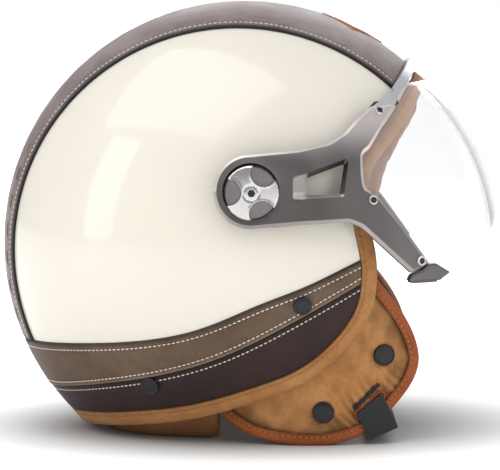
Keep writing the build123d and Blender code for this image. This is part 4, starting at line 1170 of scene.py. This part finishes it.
# painted light and shade over the arm: a painted highlight over the upper branch and toward its front end, painted
# highlights on the chamfers, painted shade over the lower arm and in the recess, and painted light on the recess's
# lower and rear walls
painted_shading = 0.20 - 3.4 * step_up(arm_v[:, 1], 56, 84) - 0.25 * step_up(arm_v[:, 0], 78, 100)
painted_chamfer_highlight = np.where(arm_v[:, 1] > centre[1], -3.6, -1.5)
painted_shading = np.where(edge_d < CHAMFER + 0.05, painted_chamfer_highlight, painted_shading)
wall_low = rec_in & (arm_v[:, 1] < 39.2)
wall_rear = rec_in & (arm_v[:, 0] < 37.5) & ~wall_low
painted_shading = np.where(rec_in, 0.45, painted_shading)
painted_shading = np.where(wall_rear, -0.9, painted_shading)
painted_shading = np.where(wall_low, -2.0, painted_shading)
for hand, word in SIDES:
    p, n = visor.at(arm_v, hand, ARM_FACE)
    w = step_up(-hub_d, -66.0, -20.0)
    p[:, 1] = hand * (np.abs(p[:, 1]) * (1 - w) + HUB_FACE_Y * w)
    p -= n * sunk[:, None]
    b, _ = visor.at(arm_v, hand, ARM_BACK)
    b[:, 1] = np.where(hub_d < 24, hand * HUB_BACK_Y, b[:, 1])
    ob = slab_mesh(f"arm_{word}", arm_v, arm_f, p, b, M["gunmetal"], "visor", 26, hand)
    # the arm's back face gets painted shade
    shade_points(ob, np.concatenate([painted_shading, np.full(len(arm_v), 0.3)]))
    declare(ob, "gunmetal", f"visor_arm_{word}")
    declare(lathe(f"hub_seat_{word}", (PIVOT[0], hand * 118.5, PIVOT[2]), (0, hand, 0),
                  [(5.2, 0), (17.2, 0), (17.2, 2.3), (5.2, 2.3)], M["black_plastic"], "visor", 48),
            "black_plastic")
    # dark joint between the arm and the brow bar
    joint_v, joint_f = relief(dense(np.array([(75.6, 89.6), (78.4, 92.3), (92.9, 92.9),
                                              (93.6, 91.0), (91.6, 90.2), (77.0, 88.8)]), 2.0),
                              [], 2.0)
    p, _ = visor.at(joint_v, hand, 2.6)
    b, _ = visor.at(joint_v, hand, 0.2)
    declare(slab_mesh(f"brow_joint_{word}", joint_v, joint_f, p, b, M["black_plastic"], "visor",
                      30, hand), "black_plastic")

# ------------------------------------------------------------------ knobs
KNOB_RADIUS = 16.5
KNOB_FACE_Y, KNOB_BACK_Y = 126.1, 121.4
SCOOP_RADIUS, SCOOP_OFFSET, SCOOP_DEPTH = 8.0, 14.0, 2.3
SCOOP_ANGLES = (58, 178, 298)
SOCKET_HOLE = 2.4


def ring(middle, radius, count):
    """Points round a circle in the side view."""
    a = np.linspace(0, 2 * math.pi, count, endpoint=False)
    return middle + radius * np.stack([np.cos(a), np.sin(a)], axis=1)


def arc_inside(middle, radius, limit):
    """The part of a circle that lies within limit of the pivot."""
    arc = ring(middle, radius, 120)
    near = np.hypot(*(arc - centre).T) < limit
    start = int(np.argmax(~near & np.roll(near, -1)))
    arc, near = np.roll(arc, -start - 1, axis=0), np.roll(near, -start - 1)
    return arc[:int(np.argmin(near)) if not near.all() else len(arc)]


def there_and_back(line):
    """An open line as a closed one that returns beside itself."""
    return np.vstack([line, line[::-1][1:-1] + 1e-4])


scoops = [centre + SCOOP_OFFSET * np.array([math.cos(math.radians(a)), math.sin(math.radians(a))])
          for a in SCOOP_ANGLES]
guides = [there_and_back(arc_inside(scoop, radius, 15.9))
          for scoop in scoops for radius in (SCOOP_RADIUS, 7.55, 8.5)]
knob_v, knob_f = relief(ring(centre, KNOB_RADIUS, 180), [centre + SOCKET_HOLE * circle[::16]], 0.8,
                        guides)
knob_d = np.hypot(*(knob_v - centre).T)
scoop_d = np.min([np.hypot(*(knob_v - scoop).T) for scoop in scoops], axis=0)
knob_y = KNOB_FACE_Y - 0.5 * (knob_d / 16.3) ** 2 - 0.6 * np.clip((knob_d - 15.7) / 0.8, 0, 1)
knob_y -= SCOOP_DEPTH * np.clip((SCOOP_RADIUS - scoop_d) / 0.45, 0, 1)
knob_y += 0.12 * np.exp(-((scoop_d - 8.25) / 0.25) ** 2)
knob_y -= 0.35 * np.exp(-((knob_d - 4.6) / 0.5) ** 2)
for hand, word in SIDES:
    top = np.stack([knob_v[:, 0], hand * knob_y, knob_v[:, 1]], axis=1)
    bottom = np.stack([knob_v[:, 0], np.full(len(knob_v), hand * KNOB_BACK_Y), knob_v[:, 1]],
                      axis=1)
    ob = slab_mesh(f"knob_{word}_disc", knob_v, knob_f, top, bottom, M["knob_chrome"],
                   f"knob_{word}", 22, hand)
    # the floors of the scoops are satin
    ob.data.materials.append(M["knob_satin"])
    middle = knob_v[knob_f].mean(axis=1)
    deep = np.min([np.hypot(*(middle - scoop).T) for scoop in scoops], axis=0) < 7.6
    index = np.zeros(len(ob.data.polygons), np.int32)
    index[:len(deep)] = deep
    ob.data.polygons.foreach_set("material_index", index)
    declare(ob, "knob_chrome", f"knob_{word}")
    # a black disc at the bottom of the knob's hex socket is painted shade in the hole
    declare(lathe(f"knob_{word}_socket", (centre[0], hand * 122.0, centre[1]), (0, hand, 0),
                  [(0.1, 0), (2.5, 0), (2.5, 2.4), (0.1, 2.4)], M["black_plastic"],
                  f"knob_{word}", 6), "knob_chrome")


# ------------------------------------------------------------------ visor screws and lift tab
VISOR_SCREWS = ((80.5, 86.0), (76.0, 34.7), (105.0, -2.0))
SCREW_HEAD = [(1.5, -0.4), (3.1, -0.4), (3.1, 0.8), (2.85, 1.2), (2.3, 1.35), (1.95, 1.2),
              (1.8, 0.3), (1.8, -0.2)]
SCREW_SOCKET_SHADE = [(0.1, -0.1), (1.85, -0.1), (1.85, 0.75), (0.1, 0.7)]


def screw(name, spot, hand):
    """A domed screw head on the face of an arm; a black disc at the bottom of its socket is painted shade in the
    hole.
    """
    p, n = visor.at(np.array([spot], float), hand, 4.5)
    declare(lathe(name, p[0], n[0], SCREW_HEAD, M["bright_steel"], "visor", 32), "bright_steel",
            "visor_screws")
    declare(lathe(name + "_socket", p[0], n[0], SCREW_SOCKET_SHADE, M["black_plastic"], "visor", 12),
            "black_plastic")


for hand, word in SIDES:
    for k, spot in enumerate(VISOR_SCREWS):
        screw(f"screw_{word}_{k}", spot, hand)

TAB_TEETH, TOOTH_PITCH = 11, 1.42
TAB_FACE, TAB_BACK, TAB_BEVEL = 5.0, 0.2, 1.0
RIDGE_PITCH = 1.9
teeth = []
for k in range(TAB_TEETH):
    x = 115.6 - k * TOOTH_PITCH
    teeth += [(x, -14.2), (x - TOOTH_PITCH / 2, -15.6)]
tab_outline = np.vstack([
    rounded([(98.0, -14.0), (99.9, -10.3), (106.0, -7.8), (110.2, -4.6), (114.6, -4.2),
             (123.6, -10.2), (117.0, -14.6)], [0.8, 1.0, 1.0, 0.8, 0.8, 0.6, 0.5], 3),
    np.array(teeth), [(98.9, -14.9)]])
tab_line = dense(tab_outline, 1.0)
tab_v, tab_f = relief(tab_line, [], 1.4, [inset(tab_line, TAB_BEVEL)])
tab_d = gap(tab_v, tab_line)
tab_h = TAB_FACE - TAB_BEVEL * (1 - np.clip(tab_d / TAB_BEVEL, 0, 1))
ridge = tab_v @ np.array([0.75, 0.66])
tab_h += 0.22 * np.sin(ridge * 2 * math.pi / RIDGE_PITCH) * step_up(tab_d, TAB_BEVEL, 2.5)
p, _ = visor.at(tab_v, -1, tab_h)
b, _ = visor.at(tab_v, -1, TAB_BACK)
declare(slab_mesh("tab_lever", tab_v, tab_f, p, b, M["gunmetal"], "visor", 30, -1), "gunmetal",
        "lift_tab")

# ------------------------------------------------------------------ clear shield
SHIELD_ROWS, SHIELD_THICK, SHIELD_ROUND = 57, 2.2, 0.45
SHIELD_REACH = VISOR_RADIUS + 1
rear_side = spaced(smooth([(104, -7.8), (92, 1), (80, 13), (72, 24), (68, 34), (65.5, 44),
                           (65.0, 56), (65.8, 68), (70, 80), (79, 89.3), (95, 103.5)], 300),
                   SHIELD_ROWS)
rise = np.radians(np.linspace(2.6, 47.5, SHIELD_ROWS))
front_side = np.stack([VISOR_X + SHIELD_REACH * np.cos(rise),
                       VISOR_Z + SHIELD_REACH * np.sin(rise)], axis=1)
outer, inner = [], []
for k, (a, b) in enumerate(zip(front_side, rear_side)):
    bow = np.linspace(0, 1, 900)[:, None]
    p, n = visor.trace(a * (1 - bow) + b * bow, 130)
    thin = SHIELD_ROUND if k in (0, SHIELD_ROWS - 1) else 0.0
    outer.append(p - n * thin)
    inner.append(p - n * (SHIELD_THICK - thin))
rows, cols = len(outer), outer[0].shape[0]
verts = np.vstack(outer + inner)
shift = rows * cols
faces = grid_faces(rows, cols)
faces += [f[::-1] for f in grid_faces(rows, cols, start=shift)]
for j in range(cols - 1):
    faces.append([j + 1, j, j + shift, j + 1 + shift])
    top = (rows - 1) * cols
    faces.append([top + j, top + j + 1, top + j + 1 + shift, top + j + shift])
for i in range(rows - 1):
    faces.append([i * cols, (i + 1) * cols, (i + 1) * cols + shift, i * cols + shift])
    e = cols - 1
    faces.append([(i + 1) * cols + e, i * cols + e, i * cols + e + shift,
                  (i + 1) * cols + e + shift])
shield = make("shield", verts, faces, M["clear_visor"], "visor", 40)
declare(shield, "clear_visor", "visor_shield")


# ------------------------------------------------------------------ stuffed and lined pieces
VOXEL_M = 0.0045
PRESSURE, SWELL_LIMIT, SHRINK = 4.0, 2.2, 0.6
CLOTH_FRAMES = 20


def stuffed(node, mat, wrinkle, reach=0.0):
    """A soft cover over padding, blown up from the plain CAD solid and then creased.

    reach carries the front of the piece forward under the flaps."""
    source = frame["nodes"][node]
    ob = place(bpy.data.objects.new(node + "_cover", source.data.copy()))
    ob.data.materials.clear()
    ob.data.materials.append(mat)
    bpy.context.view_layer.objects.active = ob
    for other in bpy.context.selected_objects:
        other.select_set(False)
    ob.select_set(True)
    remesh = ob.modifiers.new("remesh", "REMESH")
    remesh.mode, remesh.voxel_size = "VOXEL", VOXEL_M
    bpy.ops.object.modifier_apply(modifier="remesh")
    relax = ob.modifiers.new("relax", "SMOOTH")
    relax.factor, relax.iterations = 0.5, 4
    bpy.ops.object.modifier_apply(modifier="relax")
    me = ob.data
    count = len(me.vertices)
    rest, normal = np.empty(count * 3), np.empty(count * 3)
    me.vertices.foreach_get("co", rest)
    me.vertex_normals.foreach_get("vector", normal)
    rest, normal = rest.reshape(-1, 3), normal.reshape(-1, 3)
    start = rest - normal * SHRINK / 1000
    me.vertices.foreach_set("co", start.ravel())
    cloth = ob.modifiers.new("cloth", "CLOTH")
    s = cloth.settings
    s.quality, s.mass = 4, 0.3
    s.use_pressure, s.uniform_pressure_force = True, PRESSURE
    s.tension_stiffness = s.compression_stiffness = 12
    s.shear_stiffness, s.bending_stiffness = 6, 0.8
    s.effector_weights.gravity = 0
    scene.frame_start, scene.frame_end = 1, CLOTH_FRAMES
    for f in range(1, CLOTH_FRAMES + 1):
        scene.frame_set(f)
    shown = ob.evaluated_get(bpy.context.evaluated_depsgraph_get()).data
    moved = np.empty(count * 3)
    shown.vertices.foreach_get("co", moved)
    moved = moved.reshape(-1, 3) - start
    size = np.linalg.norm(moved, axis=1)
    moved *= np.minimum(1, SWELL_LIMIT / 1000 / np.maximum(size, 1e-9))[:, None]
    ob.modifiers.remove(cloth)
    start = start + np.nan_to_num(moved)
    scene.frame_set(1)
    at = start * 1000
    a = np.sin(at[:, 0] * 0.21 + 1.7 * np.sin(at[:, 2] * 0.11)) * np.sin(at[:, 1] * 0.17 + 0.6)
    b = np.sin(at[:, 2] * 0.55 + 0.9 * np.sin(at[:, 0] * 0.23) + at[:, 1] * 0.31)
    start = start + normal * ((wrinkle * (0.6 * a + 0.55 * b) - 0.2) / 1000)[:, None]
    start[:, 0] += reach / 1000 * step_up(at[:, 0] - CENTRE[0], -62, -26)
    start[:, 2] = np.maximum(start[:, 2], 0.0004)
    me.vertices.foreach_set("co", start.ravel())
    me.update()
    fine = ob.modifiers.new("fine", "SUBSURF")
    fine.levels = fine.render_levels = 1
    bpy.ops.object.modifier_apply(modifier="fine")
    me = ob.data
    me.polygons.foreach_set("use_smooth", [True] * len(me.polygons))
    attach(ob, "helmet")
    declare(ob, mat.name, node)


stuffed("face_roll", M["lining_leather"], 0.8)
stuffed("neck_roll", M["lining_leather"], 0.8, reach=9.0)
for word in ("right", "left"):
    stuffed(f"cheek_pad_{word}", M["lining_cloth"], 0.6)


# ------------------------------------------------------------------ pieces kept from the CAD
slots = {s["node"]: s["material_slot"] for s in frame["record"]["subparts"]}
for name, ob in frame["nodes"].items():
    ob.data.materials.clear()
    ob.data.materials.append(M[slots[name]])
